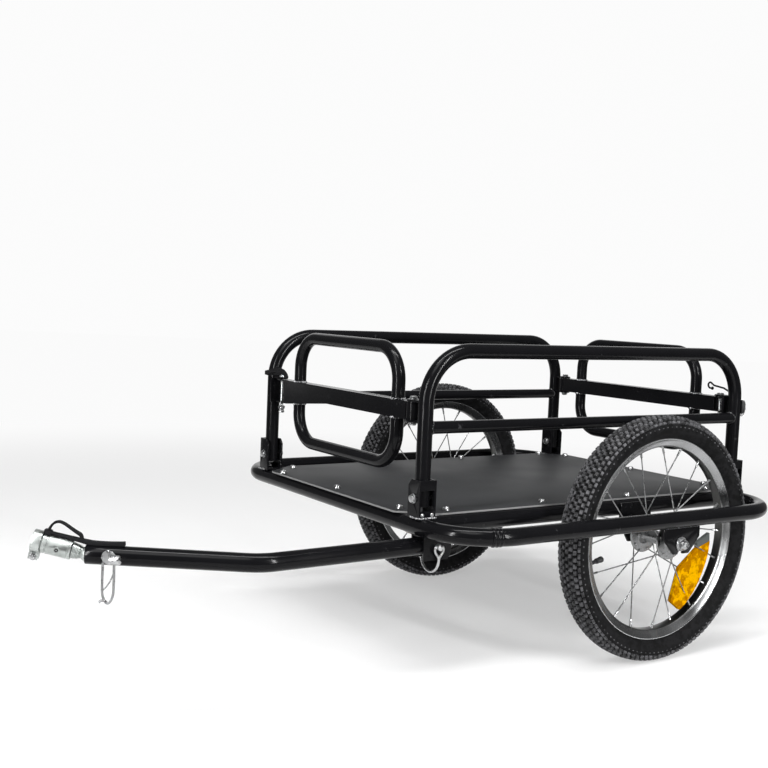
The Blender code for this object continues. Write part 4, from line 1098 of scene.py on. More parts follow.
for end, x in POST_X.items():
    body = end + "_gate"
    rings = []
    legs = [GATE_SHIFT[end] - GATE_HALF, GATE_SHIFT[end] + GATE_HALF]
    for level, top in (("upper", GATE_TOP), ("lower", GATE_LOW)):
        feet = [BAR_TOP - 0.002] * 2 if level == "upper" else [bar_floor(end, y) + 0.002 for y in legs]
        bent_tube(f"{end}_{level}_hoop", [(x, legs[0], feet[0]), (x, legs[0], top), (x, legs[1], top),
                  (x, legs[1], feet[1])], GATE_TUBE, GATE_BEND, black, body, f"{end}_gate_{level}_hoop")
        for y in legs:
            ring = [(x + 0.0098 * math.cos(a), y + 0.0104 * math.sin(a)) for a in (0.2244 * n for n in range(28))]
            rings.append([Vector((a, b, BAR_TOP + 0.0004 if level == "upper" else bar_floor(end, b) - 0.0004))
                          for a, b in ring])
    # The gate welds take the finish whose pale bare flecks are partly painted glints.
    welds(end + "_gate_welds", rings, rubbed_glint_bead.material, body, bead=0.0017, seed=6)
    hinge_sign = SIDES[HINGE_SIDE[end]]
    near = -hinge_sign * (0.1759 if end == "front" else 0.1938)
    low, high = sorted((near, near + hinge_sign * 0.0050))
    cap = prism([(x - 0.0079, low), (x + 0.0079, low), (x + 0.0079, high), (x - 0.0079, high)],
                bar_floor(end, near) + 0.0022, BAR_TOP - 0.0022)
    knuckle = turned([(0.0082, BAR_BOTTOM + 0.0023), (0.0103, BAR_BOTTOM + 0.0023), (0.0103, BAR_TOP - 0.0023),
                      (0.0082, BAR_TOP - 0.0023), (0.0082, BAR_BOTTOM + 0.0023)], 32)
    place_piece(end + "_bar_ends", solid_mesh(joined(
        (cap, Matrix()), (knuckle, Matrix.Translation((x, hinge_sign * HINGE_Y, 0))))), black, body)
    centre = Vector((x, hinge_sign * HINGE_Y, (BAR_TOP + BAR_BOTTOM) / 2))
    shape = through_bolt(centre, Z, grip=BAR_TOP - BAR_BOTTOM + 0.0072, head=0.0056, thick=0.0034, radius=0.0029)
    place_piece(end + "_hinge_bolt", solid_mesh(shape), zinc.material, HINGE_SIDE[end] + "_side",
                end + "_gate_hinge_bolt")
    shoulder = BAR_BOTTOM - LATCH_DROP[end] - 0.0067
    pin = turned([(0, BAR_TOP), (0.0022, BAR_TOP), (0.0029, BAR_TOP - 0.0012), (0.0029, shoulder),
                  (0.0052, shoulder - 0.0002), (0.0059, shoulder - 0.0009), (0.0059, shoulder - 0.0044),
                  (0.0052, shoulder - 0.0052), (0.0043, shoulder - 0.0060), (0.0042, shoulder - 0.0085),
                  (0.0050, shoulder - 0.0092), (0.0053, shoulder - 0.0103), (0.0046, shoulder - 0.0117),
                  (0.0030, shoulder - 0.0123), (0, shoulder - 0.0123)], 32)
    place_piece(end + "_pin", solid_mesh(pin), zinc.material, end + "_latch",
                end + "_latch_pin")
    pin_spot = Vector((x, -hinge_sign * HINGE_Y, 0))
    bpy.data.objects[end + "_pin"].data.transform(Matrix.Translation(pin_spot))
    bushing = turned([(0.0037, 0), (0.0060, 0), (0.0060, 0.0012), (0.0054, 0.0026), (0.0040, 0.0028), (0.0037, 0.0024),
                      (0.0037, 0)], 28)
    latch_side = "right" if hinge_sign > 0 else "left"
    place_piece(end + "_pin_bushing", solid_mesh(joined((bushing, at(pin_spot + Z * (BAR_TOP + 0.0034))))),
                zinc.material, latch_side + "_side")
print("gates made")

# %% [markdown]
# ## Tyres
# The carcass is turned from a smooth profile. The tread is one short row of rubber blocks, copied round
# the axle by the ring recipe: two blocks in the middle, then two staggered rows, then the shoulders.

# %% Tyre carcass and tread
def block(turn, across, reach, length, width, height, lean):
    """A tapered rubber block on the tyre, placed by its turn round the axle and its place across."""
    corners = []
    for level, scale in ((-0.0012, 1.12), (height, 0.82)):
        for a, b in ((-1, -1), (1, -1), (1, 1), (-1, 1)):
            side = b * width / 2 * scale
            out = level * math.cos(lean) - side * math.sin(lean)
            over = across + side * math.cos(lean) + level * math.sin(lean)
            spin = turn + a * length / 2 * scale / reach
            corners.append(Vector(((reach + out) * math.sin(spin), over, (reach + out) * math.cos(spin))))
    return corners, [[0, 1, 2, 3], [4, 5, 6, 7], [0, 1, 5, 4], [1, 2, 6, 5], [2, 3, 7, 6], [3, 0, 4, 7]]


TREAD_ROWS = 116
pitch = 2 * math.pi / TREAD_ROWS
# Each kind of block: half pitches ahead, place across, reach, length, width, height and lean.
BLOCKS = ((0, 0.0034, 0.1932, 0.0066, 0.0050, 0.0028, 0.0), (1, 0.0098, 0.1926, 0.0062, 0.0050, 0.0028, 0.16),
          (0, 0.0160, 0.1903, 0.0066, 0.0050, 0.0027, 0.50), (1, 0.0206, 0.1862, 0.0070, 0.0040, 0.0020, 0.95),
          (0, 0.0231, 0.1795, 0.0026, 0.0018, 0.0006, 1.5))
row = []
for sign in (1, -1):
    half = pitch / 2 if sign > 0 else 0.0
    row += [block(half + ahead * pitch / 2, sign * across, reach, length, width, height, sign * lean)
            for ahead, across, reach, length, width, height, lean in BLOCKS]
knobs = pattern("tread_row", joined(*[(part, Matrix()) for part in row]))
knobs.data.set_sharp_from_angle(angle=math.radians(20))

half_tyre = [(0.1585, 0.0108), (0.1608, 0.0142), (0.1640, 0.0176), (0.1690, 0.0212), (0.1745, 0.0230),
             (0.1800, 0.0230), (0.1850, 0.0208), (0.1890, 0.0172), (0.1918, 0.0118), (0.1930, 0.0058), (0.1932, 0.0)]
outer = [Vector((r, 0, z)) for r, z in half_tyre] + [Vector((r, 0, -z)) for r, z in reversed(half_tyre[:-1])]
tyre_profile = [(p.x, p.z) for p in smooth(outer, 3)] + [(0.1560, -0.0100), (0.1560, 0.0100)]
tyre_profile.append(tyre_profile[0])
carcass = turned(tyre_profile, 120)
wheel_turn = Matrix.Rotation(math.radians(-90), 4, "X")
for side, sign in SIDES.items():
    centre = Matrix.Translation((0, sign * WHEEL_Y, AXLE_Z))
    mesh = solid_mesh(carcass)
    mesh.transform(centre @ wheel_turn)
    place_piece(side + "_tyre_carcass", mesh, rubber.material, side + "_wheel", side + "_tyre")
    mesh = round_axle.run(path_mesh([(0, 0, 0)]), Copy=knobs, Count=TREAD_ROWS, Start=0.0, Finish=tread_dust_and_sheen.material)
    mesh.transform(centre)
    place_piece(side + "_tread", mesh, None, side + "_wheel", crease=25)
print("tread blocks a tyre", TREAD_ROWS * len(row))

# %% [markdown]
# ## Rims, spokes and hubs
# Twenty spokes cross once between the hub and the rim. Four of them make the pattern that repeats every
# fifth of a turn: a leading and a trailing one on each flange. Each bends out of its flange hole and ends
# in a nipple at the rim.

# %% Spoke pattern
PATTERN_COPIES, HOLE_CIRCLE, RIM_SEAT, NIPPLE_LENGTH = 5, 0.0240, 0.1462, 0.0125


def spoke_ends(number, face):
    """A spoke's hole in the hub, its end at the rim, and whether it leads."""
    step = math.radians(180 / PATTERN_COPIES)
    start = step * number + (step / 2 if face > 0 else 0.0)
    leading = (number % 2 == 0) == (face > 0)
    stop = start + (step if leading else -step)
    offset = face * (0.0287 if leading else 0.0253)
    inner = Vector((HOLE_CIRCLE * math.cos(start), offset, -HOLE_CIRCLE * math.sin(start)))
    outer_end = Vector((RIM_SEAT * math.cos(stop), face * 0.0012, -RIM_SEAT * math.sin(stop)))
    return inner, outer_end, leading


wires, nipples, spoke_heads = [], [], []
for number in (0, 1):
    for face in (1, -1):
        inner, rim_end, leading = spoke_ends(number, face)
        way = (rim_end - inner).normalized()
        inwards = Vector((0, -face if leading else face, 0))
        bend = [inner + inwards * 0.0044, inner + inwards * 0.0012, inner + way * 0.0030, inner + way * 0.02, rim_end]
        wires.append((swept(bend, round_section(0.0010, 8)), Matrix()))
        nipple = turned([(0, 0), (0.0014, 0), (0.0017, 0.0008), (0.0017, NIPPLE_LENGTH - 0.003),
                         (0.0022, NIPPLE_LENGTH - 0.002), (0.0024, NIPPLE_LENGTH), (0, NIPPLE_LENGTH)], 10)
        nipples.append((nipple, at(rim_end - way * (NIPPLE_LENGTH - 0.0008), way)))
        spoke_heads.append((turned([(0, 0.0009), (0.0010, 0.0008), (0.0018, 0), (0, -0.0002)], 10),
                            at(inner + inwards * 0.0044, inwards)))
spoke_set = pattern("spoke_set", joined(*wires))
nipple_set = pattern("nipple_set", joined(*nipples, *spoke_heads))

rim_half = [(0.1610, 0.0126), (0.1614, 0.0132), (0.1606, 0.0136), (0.1592, 0.0135), (0.1582, 0.0128), (0.1560, 0.0115),
            (0.1530, 0.0101), (0.1500, 0.0090), (0.1481, 0.0083), (0.1468, 0.0072), (0.1461, 0.0040)]
rim_profile = rim_half + [(r, -z) for r, z in reversed(rim_half)]
rim_profile += [(0.1560, -0.0098), (0.1560, 0.0098)]
rim_profile.append(rim_profile[0])
hub_half = [(0.0054, 0.0458), (0.0078, 0.0458), (0.0082, 0.0450), (0.0082, 0.0400), (0.0096, 0.0394),
            (0.0100, 0.0350), (0.0126, 0.0320), (0.0140, 0.0296), (0.0282, 0.0288), (0.0290, 0.0282),
            (0.0290, 0.0262), (0.0282, 0.0256), (0.0150, 0.0248), (0.0122, 0.0210), (0.0108, 0.0150), (0.0104, 0.0)]
hub_profile = hub_half + [(r, -z) for r, z in reversed(hub_half[:-1])]
hub_profile.append(hub_profile[0])
for side, sign in SIDES.items():
    centre = Matrix.Translation((0, sign * WHEEL_Y, AXLE_Z))
    body = side + "_wheel"
    for name, profile, steps, finish, node, slot in (
            ("rim_hoop", rim_profile, 120, rim_metal, "rim", "satin_alloy"),
            ("hub_shell", hub_profile, 48, wire_zinc, "spoked_hub", "zinc_steel")):
        mesh = solid_mesh(turned(profile, steps))
        mesh.transform(centre @ wheel_turn)
        place_piece(f"{side}_{name}", mesh, finish.material, body, f"{side}_{node}")
    for name, copy, finish in (("spokes", spoke_set, wire_zinc), ("nipples", nipple_set, zinc)):
        mesh = round_axle.run(path_mesh([(0, 0, 0)]), Copy=copy, Count=PATTERN_COPIES, Start=0.0,
                              Finish=finish.material)
        mesh.transform(centre)
        place_piece(f"{side}_{name}", mesh, None, body, crease=40)
print("spokes a wheel", PATTERN_COPIES * len(wires))

# %% [markdown]
# A valve with a black cap stands on each rim, and an amber reflector is clipped between the spokes. Its
# lens has cut ends, a raised border and a grey back.

# %% Valves and reflectors
def round_the_axle(side, degrees, radius):
    """A place on a wheel, by its turn from the front towards the ground."""
    turn = math.radians(degrees)
    return Vector((radius * math.cos(turn), SIDES[side] * WHEEL_Y, AXLE_Z - radius * math.sin(turn)))


for side, degrees in (("left", 11.5), ("right", 118)):
    base = round_the_axle(side, degrees, 0.1470)
    inwards = (Vector((0, base.y, AXLE_Z)) - base).normalized()
    stem = turned([(0, 0), (0.0042, 0), (0.0042, 0.0016), (0.0032, 0.0022), (0.0030, 0.0120), (0.0026, 0.0126),
                   (0.0026, 0.0150), (0, 0.0150)], 24)
    cap = turned([(0, 0.0140), (0.0040, 0.0140), (0.0042, 0.0150), (0.0042, 0.0215), (0.0046, 0.0222),
                  (0.0046, 0.0262), (0.0036, 0.0276), (0, 0.0280)], 24,
                 lambda angle, radius, height: radius * (1 + 0.03 * math.cos(12 * angle)))
    place_piece(side + "_valve", solid_mesh(joined((stem, at(base, inwards)), (cap, at(base, inwards)))),
                plastic.material, side + "_wheel")


LENS = [(-27.9, 0.1331), (-22.0, 0.1316), (-16.0, 0.1298), (-10.0, 0.1278), (-1.5, 0.1250), (6.8, 0.1223),
        (13.0, 0.1211), (19.0, 0.1202), (25.0, 0.1191), (31.3, 0.1180), (23.2, 0.0908), (-9.4, 0.0707), (-35.1, 0.1105)]
HOLDER = [(23.4, 0.0908), (31.5, 0.1180), (37.8, 0.1159), (28.6, 0.0881)]


def reflector_part(side, middle, corners_given, layers):
    """A plate lofted through (inset, offset) layers, from (turn, radius) corners round the axle."""
    flat = [round_the_axle(side, middle + turn, radius) for turn, radius in corners_given]
    heart = sum(flat, Vector()) / len(flat)
    corners, faces = [], []
    count = len(flat)
    for inset, offset in layers:
        corners += [p + (heart - p).normalized() * inset + Y * SIDES[side] * offset for p in flat]
    for layer in range(len(layers) - 1):
        low, high = layer * count, (layer + 1) * count
        faces += [[low + n, low + (n + 1) % count, high + (n + 1) % count, high + n] for n in range(count)]
    faces += [list(range(count)), list(range(len(corners) - count, len(corners)))]
    return corners, faces


for side, middle in (("left", 142), ("right", 60)):
    lens_shape = reflector_part(side, middle, LENS, [
        (0.0, 0.0030), (0.0, 0.0084), (0.0006, 0.0092), (0.0024, 0.0094), (0.0030, 0.0086), (0.0080, 0.0093),
        (0.0200, 0.0089)])
    place_piece(side + "_reflector_lens", solid_mesh(lens_shape), amber.material, side + "_wheel",
                side + "_spoke_reflector", crease=25)
    back_shape = reflector_part(side, middle, LENS, [(0.0008, 0.0016), (0.0002, 0.0020), (0.0002, 0.0032)])
    tip_shape = reflector_part(side, middle, HOLDER, [(0.0006, 0.0018), (0.0, 0.0024), (0.0, 0.0082), (0.0006, 0.0088)])
    place_piece(side + "_reflector_back", solid_mesh(joined((back_shape, Matrix()), (tip_shape, Matrix()))),
                grey_back.material, side + "_wheel", crease=25)
print("reflectors made")

# %% [markdown]
# ## Axles
# A short threaded axle passes through the plates and the hub. Outside sits a flanged nut over a washer.

# %% Axles and nuts
AXLE_ROD = 0.0049
root, inner_face, outer_face, tip = 0.2285, 0.2429, 0.3435, 0.3570
for side, sign in SIDES.items():
    out = Vector((0, sign, 0))
    core = Vector((0, sign * root, AXLE_Z))
    rod = turned([(0, 0), (AXLE_ROD, 0), (AXLE_ROD, outer_face - root), (0, outer_face - root)], 28)
    parts = [(rod, at(core, out)),
             (screw_thread(AXLE_ROD, 0, tip - outer_face, 0.0011), at((0, sign * outer_face, AXLE_Z), out)),
             (hex_head(0.0096, 0.0074), at((0, sign * (inner_face - 0.0076), AXLE_Z), out))]
    place_piece(side + "_axle_rod", solid_mesh(joined(*parts)), zinc.material, "chassis",
                side + "_axle")
    face = Vector((0, sign * (outer_face + 0.0002), AXLE_Z))
    parts = [(turned([(0, 0), (0.0112, 0), (0.0112, 0.0014), (0, 0.0014)], 40), at(face, out)),
             (turned([(0, 0.0014), (0.0098, 0.0014), (0.0094, 0.0026), (0, 0.0026)], 36), at(face, out)),
             (hex_head(0.0087, 0.0064), at(face + out * 0.0026, out))]
    place_piece(side + "_axle_nut_set", solid_mesh(joined(*parts)), zinc.material, "chassis",
                side + "_axle_nut")
print("axles made")

# %% [markdown]
# ## The drawbar
# The drawbar turns under the front of the left rail. Its foot is rounded, and its far end is an open
# mouth that holds the ball of the hitch, so the end is turned as a real ring with a bore.

# %% Drawbar tube
mouth_depth = 0.017
bent_tube("drawbar_bent_tube", [FOOT, ELBOW, TUBE_END - LEG * (mouth_depth - 0.0005)], TUBE, 0.070, black,
          "drawbar", "drawbar_tube")
way = (ELBOW - FOOT).normalized()
foot = turned([(0, -TUBE)] + [(TUBE * math.cos(math.radians(a)), TUBE * math.sin(math.radians(a)))
                              for a in range(-80, 1, 10)] + [(0, 0)], 32)
mouth_ring = turned([(0, -mouth_depth), (TUBE, -mouth_depth), (TUBE, -0.0008), (0.0122, 0), (0.0114, 0),
                     (0.0110, -0.0006), (0.0110, -0.0150), (0, -0.0150)], 40)
place_piece("drawbar_ends", solid_mesh(joined((foot, at(FOOT, way)), (mouth_ring, at(TUBE_END, LEG)))),
            black, "drawbar", crease=40)
print("drawbar", round(run_length([FOOT, ELBOW, TUBE_END]) * 1000), "mm along its corners")

# %% [markdown]
# A wire bail keeps the foot pin in. It is a fork on the pin's head, a round bottom, and a leg that hooks
# over the pin's tip, drawn as smooth curves through a few points.

# %% Foot pin and bail
pin = turned([(0, 0.0253), (0.0030, 0.0253), (0.0042, 0.0249), (0.0047, 0.0240), (0.0047, 0.0172), (0.0042, 0.0164),
              (0.0039, 0.0163), (0.0039, -0.0190), (0.0030, -0.0203), (0, -0.0204)], 32)
place_piece("foot_pin_rod", solid_mesh(joined((pin, at(FOOT, Y)))), zinc.material, "foot_pin",
            "drawbar_pin")
near, far, low = 0.0208, -0.0234, -0.0394
middle, half_width = (near + far) / 2, (near - far) / 2
bottom = [FOOT + Vector((0, middle + half_width * math.cos(math.radians(a)),
                         low + half_width + half_width * math.sin(math.radians(a)))) for a in range(0, -181, -10)]
leg = [bottom[0] + Vector((0, 0, 0.004))] + bottom + [FOOT + Vector((0, far, z)) for z in (-0.012, -0.006, 0.0035)]
fork = smooth([FOOT + Vector(p) for p in ((0.0026, near, 0), (0.0066, near, 0.0002), (0.0070, near, -0.006),
               (0.0012, near, low + half_width + 0.003), (0, near, low + half_width))], 5)
other = [Vector((2 * FOOT.x - p.x, p.y, p.z)) for p in fork]
wire = round_section(0.0018, 12)
place_piece("foot_pin_bail", solid_mesh(joined(*[
    (swept(line, wire), Matrix()) for line in (leg, fork, other)])), zinc.material, "foot_pin",
    "drawbar_pin_bail", crease=60)
print("bail hangs", round((FOOT.z - bottom[9].z) * 1000, 1), "mm below the pin")

# %% [markdown]
# ## The hitch
# The hitch is alloy, turned in one line: a ball in the tube's mouth, a neck, a collar with fine ridges,
# a body, and a nose with a socket, held by a split clamp ring with a pinch bolt. Its pieces are turned in
# the hitch's own frame, where Z runs along it.

# %% Hitch
hitch_down = NORMAL.cross(HITCH)
hitch_at = at(BALL, HITCH, hitch_down)
collar = []
for n in range(5):
    z, r = 0.0202 - n * 0.0019, 0.0106 - n * 0.0003
    collar += [(r, z), (r, z - 0.0010), (r - 0.0011, z - 0.0013), (r - 0.0011, z - 0.0018)]
for z in (0.0103, 0.0095, 0.0087):
    collar += [(0.0088 if z > 0.0100 else 0.0080, z), (0.0080, z - 0.0004), (0.0075, z - 0.0006)]
ball = [(0.0107 * math.sin(math.radians(a)), 0.0107 * math.cos(math.radians(a))) for a in range(44, 180, 8)]
stud = [(0, 0.0420), (0.0057, 0.0420), (0.0057, 0.0206), (0.0100, 0.0206)] + collar + ball + [(0, -0.0107)]
place_piece("hitch_stud", solid_mesh(joined((turned(stud, 40), hitch_at))),
            alloy.material, "coupler", "coupler_stud")
barrel = [(0, 0.050), (0.0077, 0.050), (0.0077, 0.0722), (0.0082, 0.0727), (0.0107, 0.0727), (0.0112, 0.0722),
          (0.0112, 0.0597), (0.0122, 0.0597), (0.0128, 0.0590), (0.0128, 0.0548), (0.0122, 0.0543), (0.0122, 0.0532),
          (0.0128, 0.0527), (0.0128, 0.0265), (0.0122, 0.0260), (0.0122, 0.0249), (0.0128, 0.0244), (0.0128, 0.0218),
          (0.0122, 0.0212), (0.0066, 0.0212), (0.0063, 0.0216), (0.0063, 0.0434), (0, 0.0434)]
socket_rim = turned([(0.0030, -0.0010), (0.0030, 0.0003), (0.0040, 0.0004), (0.0044, -0.0010), (0.0030, -0.0010)], 24)
screw_side = (NORMAL * 0.985 + hitch_down * 0.174).normalized()
grub = turned([(0, 0.0), (0.0008, 0.0), (0.0010, 0.0002), (0.0029, 0.0002), (0.0029, -0.001), (0, -0.001)], 6)
grub_at = at(BALL + HITCH * 0.0385 + screw_side * 0.0127, screw_side)
place_piece("hitch_body", solid_mesh(joined((turned(barrel, 48), hitch_at), (socket_rim, grub_at))),
            alloy.material, "coupler_head", "coupler_body")
place_piece("hitch_set_screw", solid_mesh(joined((grub, grub_at))), plastic.material, "coupler_head")
print("hitch runs along", [round(v, 3) for v in HITCH])

# %% [markdown]
# The clamp ring is a C: the arc leaves a narrow slit between its two ears, and the pinch bolt crosses it.

# %% Clamp ring
def clamp_outline():
    """The end view of the split ring: x runs down the ears, y across the slit."""
    opening = math.degrees(math.asin(0.0075 / 0.0152))
    outside = arc((0, 0), 0.0152, opening, 360 - opening, 40)
    slit = math.degrees(math.asin(0.0015 / 0.0116))
    inside = arc((0, 0), 0.0116, 360 - slit, slit, 40)
    low_ear = [(0.0215, -0.0075), (0.0232, -0.0060), (0.0232, -0.0030), (0.0224, -0.0015)]
    return outside + low_ear + inside + [(x, -y) for x, y in reversed(low_ear)]


ring_mesh = solid_mesh(joined((prism(clamp_outline(), 0.0604, 0.0723), hitch_at)))
place_piece("hitch_clamp", ring_mesh, alloy.material, "coupler_head", "clamp_ring", edge=0.0004)
bolt_centre = BALL + HITCH * 0.06635 + hitch_down * 0.0187
place_piece("hitch_clamp_bolt", solid_mesh(through_bolt(bolt_centre, NORMAL, 0.0152, 0.0042, 0.0030, 0.0024)),
            zinc.material, "coupler_head", "clamp_bolt")
print("hitch made")

# %% [markdown]
# ## Safety gear
# A large round-headed bolt crosses the drawbar near its end. A snap hook of bent wire hangs from it, and a webbing
# strap lies over the joint between the drawbar and the hitch.

# %% Cross bolt and snap hook
hook_x = Vector((NORMAL.y, -NORMAL.x, 0))
stem = turned([(0, 0.0206), (0.0040, 0.0206), (0.0040, 0.0162), (0.0080, 0.0160), (0.0086, 0.0155), (0.0086, 0.0136),
               (0.0080, 0.0130), (0.0040, 0.0130), (0.0040, -0.0130), (0.0072, -0.0130), (0.0072, -0.0164),
               (0.0060, -0.0172), (0, -0.0172)], 40)
plate = turned([(0, 0.0204), (0.0078, 0.0206), (0.0084, 0.0210), (0.0084, 0.0218), (0.0078, 0.0224), (0, 0.0226)], 40)
knob = turned([(0, 0.0006), (0.0054, 0.0006), (0.0062, 0.0014), (0.0062, 0.0116), (0.0056, 0.0134), (0.0036, 0.0146),
               (0, 0.0149)], 36)
knob_way = (NORMAL * 0.30 - hook_x * 0.954).normalized()
place_piece("cross_bolt", solid_mesh(joined(
    (stem, at(BOLT_PLACE, NORMAL)), (plate, at(BOLT_PLACE + Z * 0.0030, NORMAL)),
    (knob, at(BOLT_PLACE + NORMAL * 0.0272 - hook_x * 0.0036 + Z * 0.0010, knob_way)))),
    zinc.material, "drawbar", "safety_bolt")
hook_out = BOLT_PLACE + NORMAL * 0.0183


def on_hook(points):
    """Places from points in the hook's own plane."""
    return [hook_out + hook_x * x + Z * z for x, z in points]


eye = [(0.0061 * math.cos(math.radians(a)), 0.0061 * math.sin(math.radians(a))) for a in range(20, 161, 14)]
left_flank = [(-0.0070, -0.006), (-0.0072, -0.014), (-0.0074, -0.030), (-0.0070, -0.045), (-0.0045, -0.0540),
              (0, -0.0585)]
loop = eye + left_flank + [(-x, z) for x, z in reversed(left_flank[:-1])]
gate_wire = smooth(on_hook([(-0.0070, -0.0185), (-0.0026, -0.0295), (0.0018, -0.0365), (0.0064, -0.0415)]), 5)
tail = smooth(on_hook([(0, -0.0580), (0.0030, -0.0556), (0.0078, -0.0550), (0.0112, -0.0573)]), 6)
wire = round_section(0.0017, 12)
loop_points = smooth(on_hook(loop + loop[:1]), 4)[:-1]
place_piece("snap_hook_wire", solid_mesh(joined(
    (swept(loop_points, wire, closed=True), Matrix()), (swept(tail, wire), Matrix()),
    (swept(gate_wire, round_section(0.0010, 8)), Matrix()))), wire_zinc.material, "hook", "snap_hook",
    crease=60)
print("hook wire", round(run_length(loop_points) * 1000), "mm round")

# %% [markdown]
# The strap is three runs of webbing: a band on the tube and hitch, a loop that stands up from it, and a keeper round
# both. Each is drawn from its side view as (along, up, thickness) points.

# %% Strap
rise = math.tan(math.asin(HITCH.z))
band = [(-0.0500, 0.0146, 0.0052), (-0.0420, 0.0144, 0.0048), (-0.0250, 0.0143, 0.0046), (-0.0100, 0.0149, 0.0050),
        (-0.0020, 0.0158, 0.0054), (0.0065, 0.0178, 0.0046)]
band += [(x, x * rise + 0.0163, thick) for x, thick in (
    (0.0130, 0.0040), (0.0200, 0.0036), (0.0320, 0.0032), (0.0440, 0.0028), (0.0485, 0.0026))]
hoop = [(0.0478, 0.0288, 0.0028), (0.0455, 0.0340, 0.0028), (0.0412, 0.0392, 0.0030), (0.0365, 0.0411, 0.0028),
        (0.0322, 0.0409, 0.0024), (0.0258, 0.0378, 0.0024), (0.0176, 0.0320, 0.0026), (0.0110, 0.0277, 0.0030),
        (0.0070, 0.0250, 0.0032), (0.0054, 0.0210, 0.0034), (0.0048, 0.0175, 0.0034)]
keeper = [(0.0440, 0.0258, 0.0070), (0.0480, 0.0268, 0.0078), (0.0530, 0.0277, 0.0070)]
flat_way = Vector((LEG.x, LEG.y, 0)).normalized()


def woven(name, points, width, side):
    """A mesh of webbing through (x, y, z, thickness) points, with a UV map in metres."""
    course = smooth([point[:3] for point in points], 6)
    thick = [p.x for p in smooth([(point[3], 0, 0) for point in points], 6)]
    a = width / 2
    section = [(-a, 0), (-a * 0.86, 1), (-a / 2, 1), (0, 1), (a / 2, 1), (a * 0.86, 1), (a, 0),
               (a * 0.86, -1), (a / 2, -1), (0, -1), (-a / 2, -1), (-a * 0.86, -1)]
    mesh = bpy.data.meshes.new(name)
    corners, faces = swept(course, section, side=side, sizes=[t / 2 for t in thick])
    mesh.from_pydata([tuple(c) for c in corners], [], faces)
    travelled = [0.0]
    for first, second in zip(course, course[1:]):
        travelled.append(travelled[-1] + (second - first).length)
    layer = mesh.uv_layers.new(name="strap")
    for corner in mesh.loops:
        step, spot = divmod(corner.vertex_index, len(section))
        layer.data[corner.index].uv = (travelled[step], section[spot][0])
    return cleaned(mesh)


def strap_run(name, points, width, nodes=()):
    """A webbing strap over the joint, from (along, up, thickness) points."""
    run = [(*(TUBE_END + flat_way * h + Z * z), thick) for h, z, thick in points]
    piece = place_piece(name, woven(name, run, width, NORMAL), webbing.material, None, nodes,
                        crease=70)
    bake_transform(piece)


strap_run("strap_band", band, 0.0100, ["safety_strap"])
strap_run("strap_loop", hoop, 0.0090)
strap_run("strap_keeper", keeper, 0.0112)
print("safety gear made")

# %% [markdown]
# ## Small trim at the latches
# A strap is wound round the front right post, with its cut end standing off, and a tongue of it runs over
# the gate bar to hold it shut. A plastic clip with a wire spring sits on the rear left post.

# %% Latch trim
post = Vector((POST_X["front"] - 0.0006, -SIDE_Y, 0.4180))
wrap = turned([(0.0115, -0.0040), (0.0142, -0.0044), (0.0150, -0.0034), (0.0147, 0), (0.0150, 0.0034), (0.0142, 0.0044),
               (0.0115, 0.0040), (0.0115, -0.0040)], 40)
tip_way = Vector((0.835, -0.548, 0)).normalized()
tip_side = Z.cross(tip_way)
half_tip = [(0.0118, -0.0080), (0.0150, -0.0050), (0.0172, -0.0016)]
tip = [tip_way * a + tip_side * b for a, b in half_tip + [(a, -b) for a, b in reversed(half_tip)]]
wedge = prism([(p.x, p.y) for p in tip], -0.0036, 0.0036)
wrap_mesh = rounded(solid_mesh(joined((wrap, at(post)), (wedge, Matrix.Translation(post)))), 0.0008)
x = POST_X["front"]
tail_course = [(x + 0.0132, -0.2290, 0.4186, 0.0036), (x + 0.0132, -0.2210, 0.4215, 0.0040),
               (x + 0.0118, -0.2110, 0.4244, 0.0042), (x + 0.0090, -0.2000, 0.4256, 0.0042),
               (x + 0.0064, -0.1890, 0.4240, 0.0040), (x + 0.0050, -0.1805, 0.4185, 0.0036),
               (x + 0.0046, -0.1762, 0.4128, 0.0030)]
place_piece("front_latch_wrap", wrap_mesh, webbing.material, "right_side", "front_latch_strap")
tongue = place_piece("front_latch_tail", woven("tail", tail_course, 0.0080, Z), webbing.material, "right_side",
                     crease=70)
x + AXLE_X
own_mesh(tongue)

clip_way = Vector((math.cos(math.radians(150)), math.sin(math.radians(150)), 0))
clip_at = Matrix((clip_way, Z, clip_way.cross(Z))).transposed().to_4x4()
clip_at.translation = (POST_X["rear"], SIDE_Y, 0.395)
clip_outline = [(0.0113, -0.0125), (0.0140, -0.0118), (0.0165, -0.0085), (0.0180, -0.0030), (0.0182, 0.0015),
                (0.0170, 0.0075), (0.0142, 0.0116), (0.0113, 0.0125)]
place_piece("lanyard_clip_body", solid_mesh(joined((prism(clip_outline, -0.006, 0.006), clip_at))),
            plastic.material, "left_side", "lanyard_clip", edge=0.0012)
crescent = smooth([(x, y, 0) for x, y in (
    (0.0130, 0.0124), (0.0172, 0.0104), (0.0196, 0.0050), (0.0200, -0.0020), (0.0188, -0.0090), (0.0162, -0.0144),
    (0.0136, -0.0160), (0.0128, -0.0144), (0.0142, -0.0128))], 4)
place_piece("lanyard_clip_wire", solid_mesh(joined((swept(crescent, round_section(0.0008, 10)), clip_at))),
            zinc.material, "left_side", crease=60)
for helper in patterns:
    bpy.data.objects.remove(helper)
print("trim made")

# %% [markdown]
# ## Paper and light
# A sweep of pale paper lies under the trailer and hangs behind it, as in a studio. The wall and the far floor
# glow evenly, brighter for the camera and in reflections than as a light, so nothing has to be overlit for the
# white. Around it the room is dim, which keeps the black tubes black.

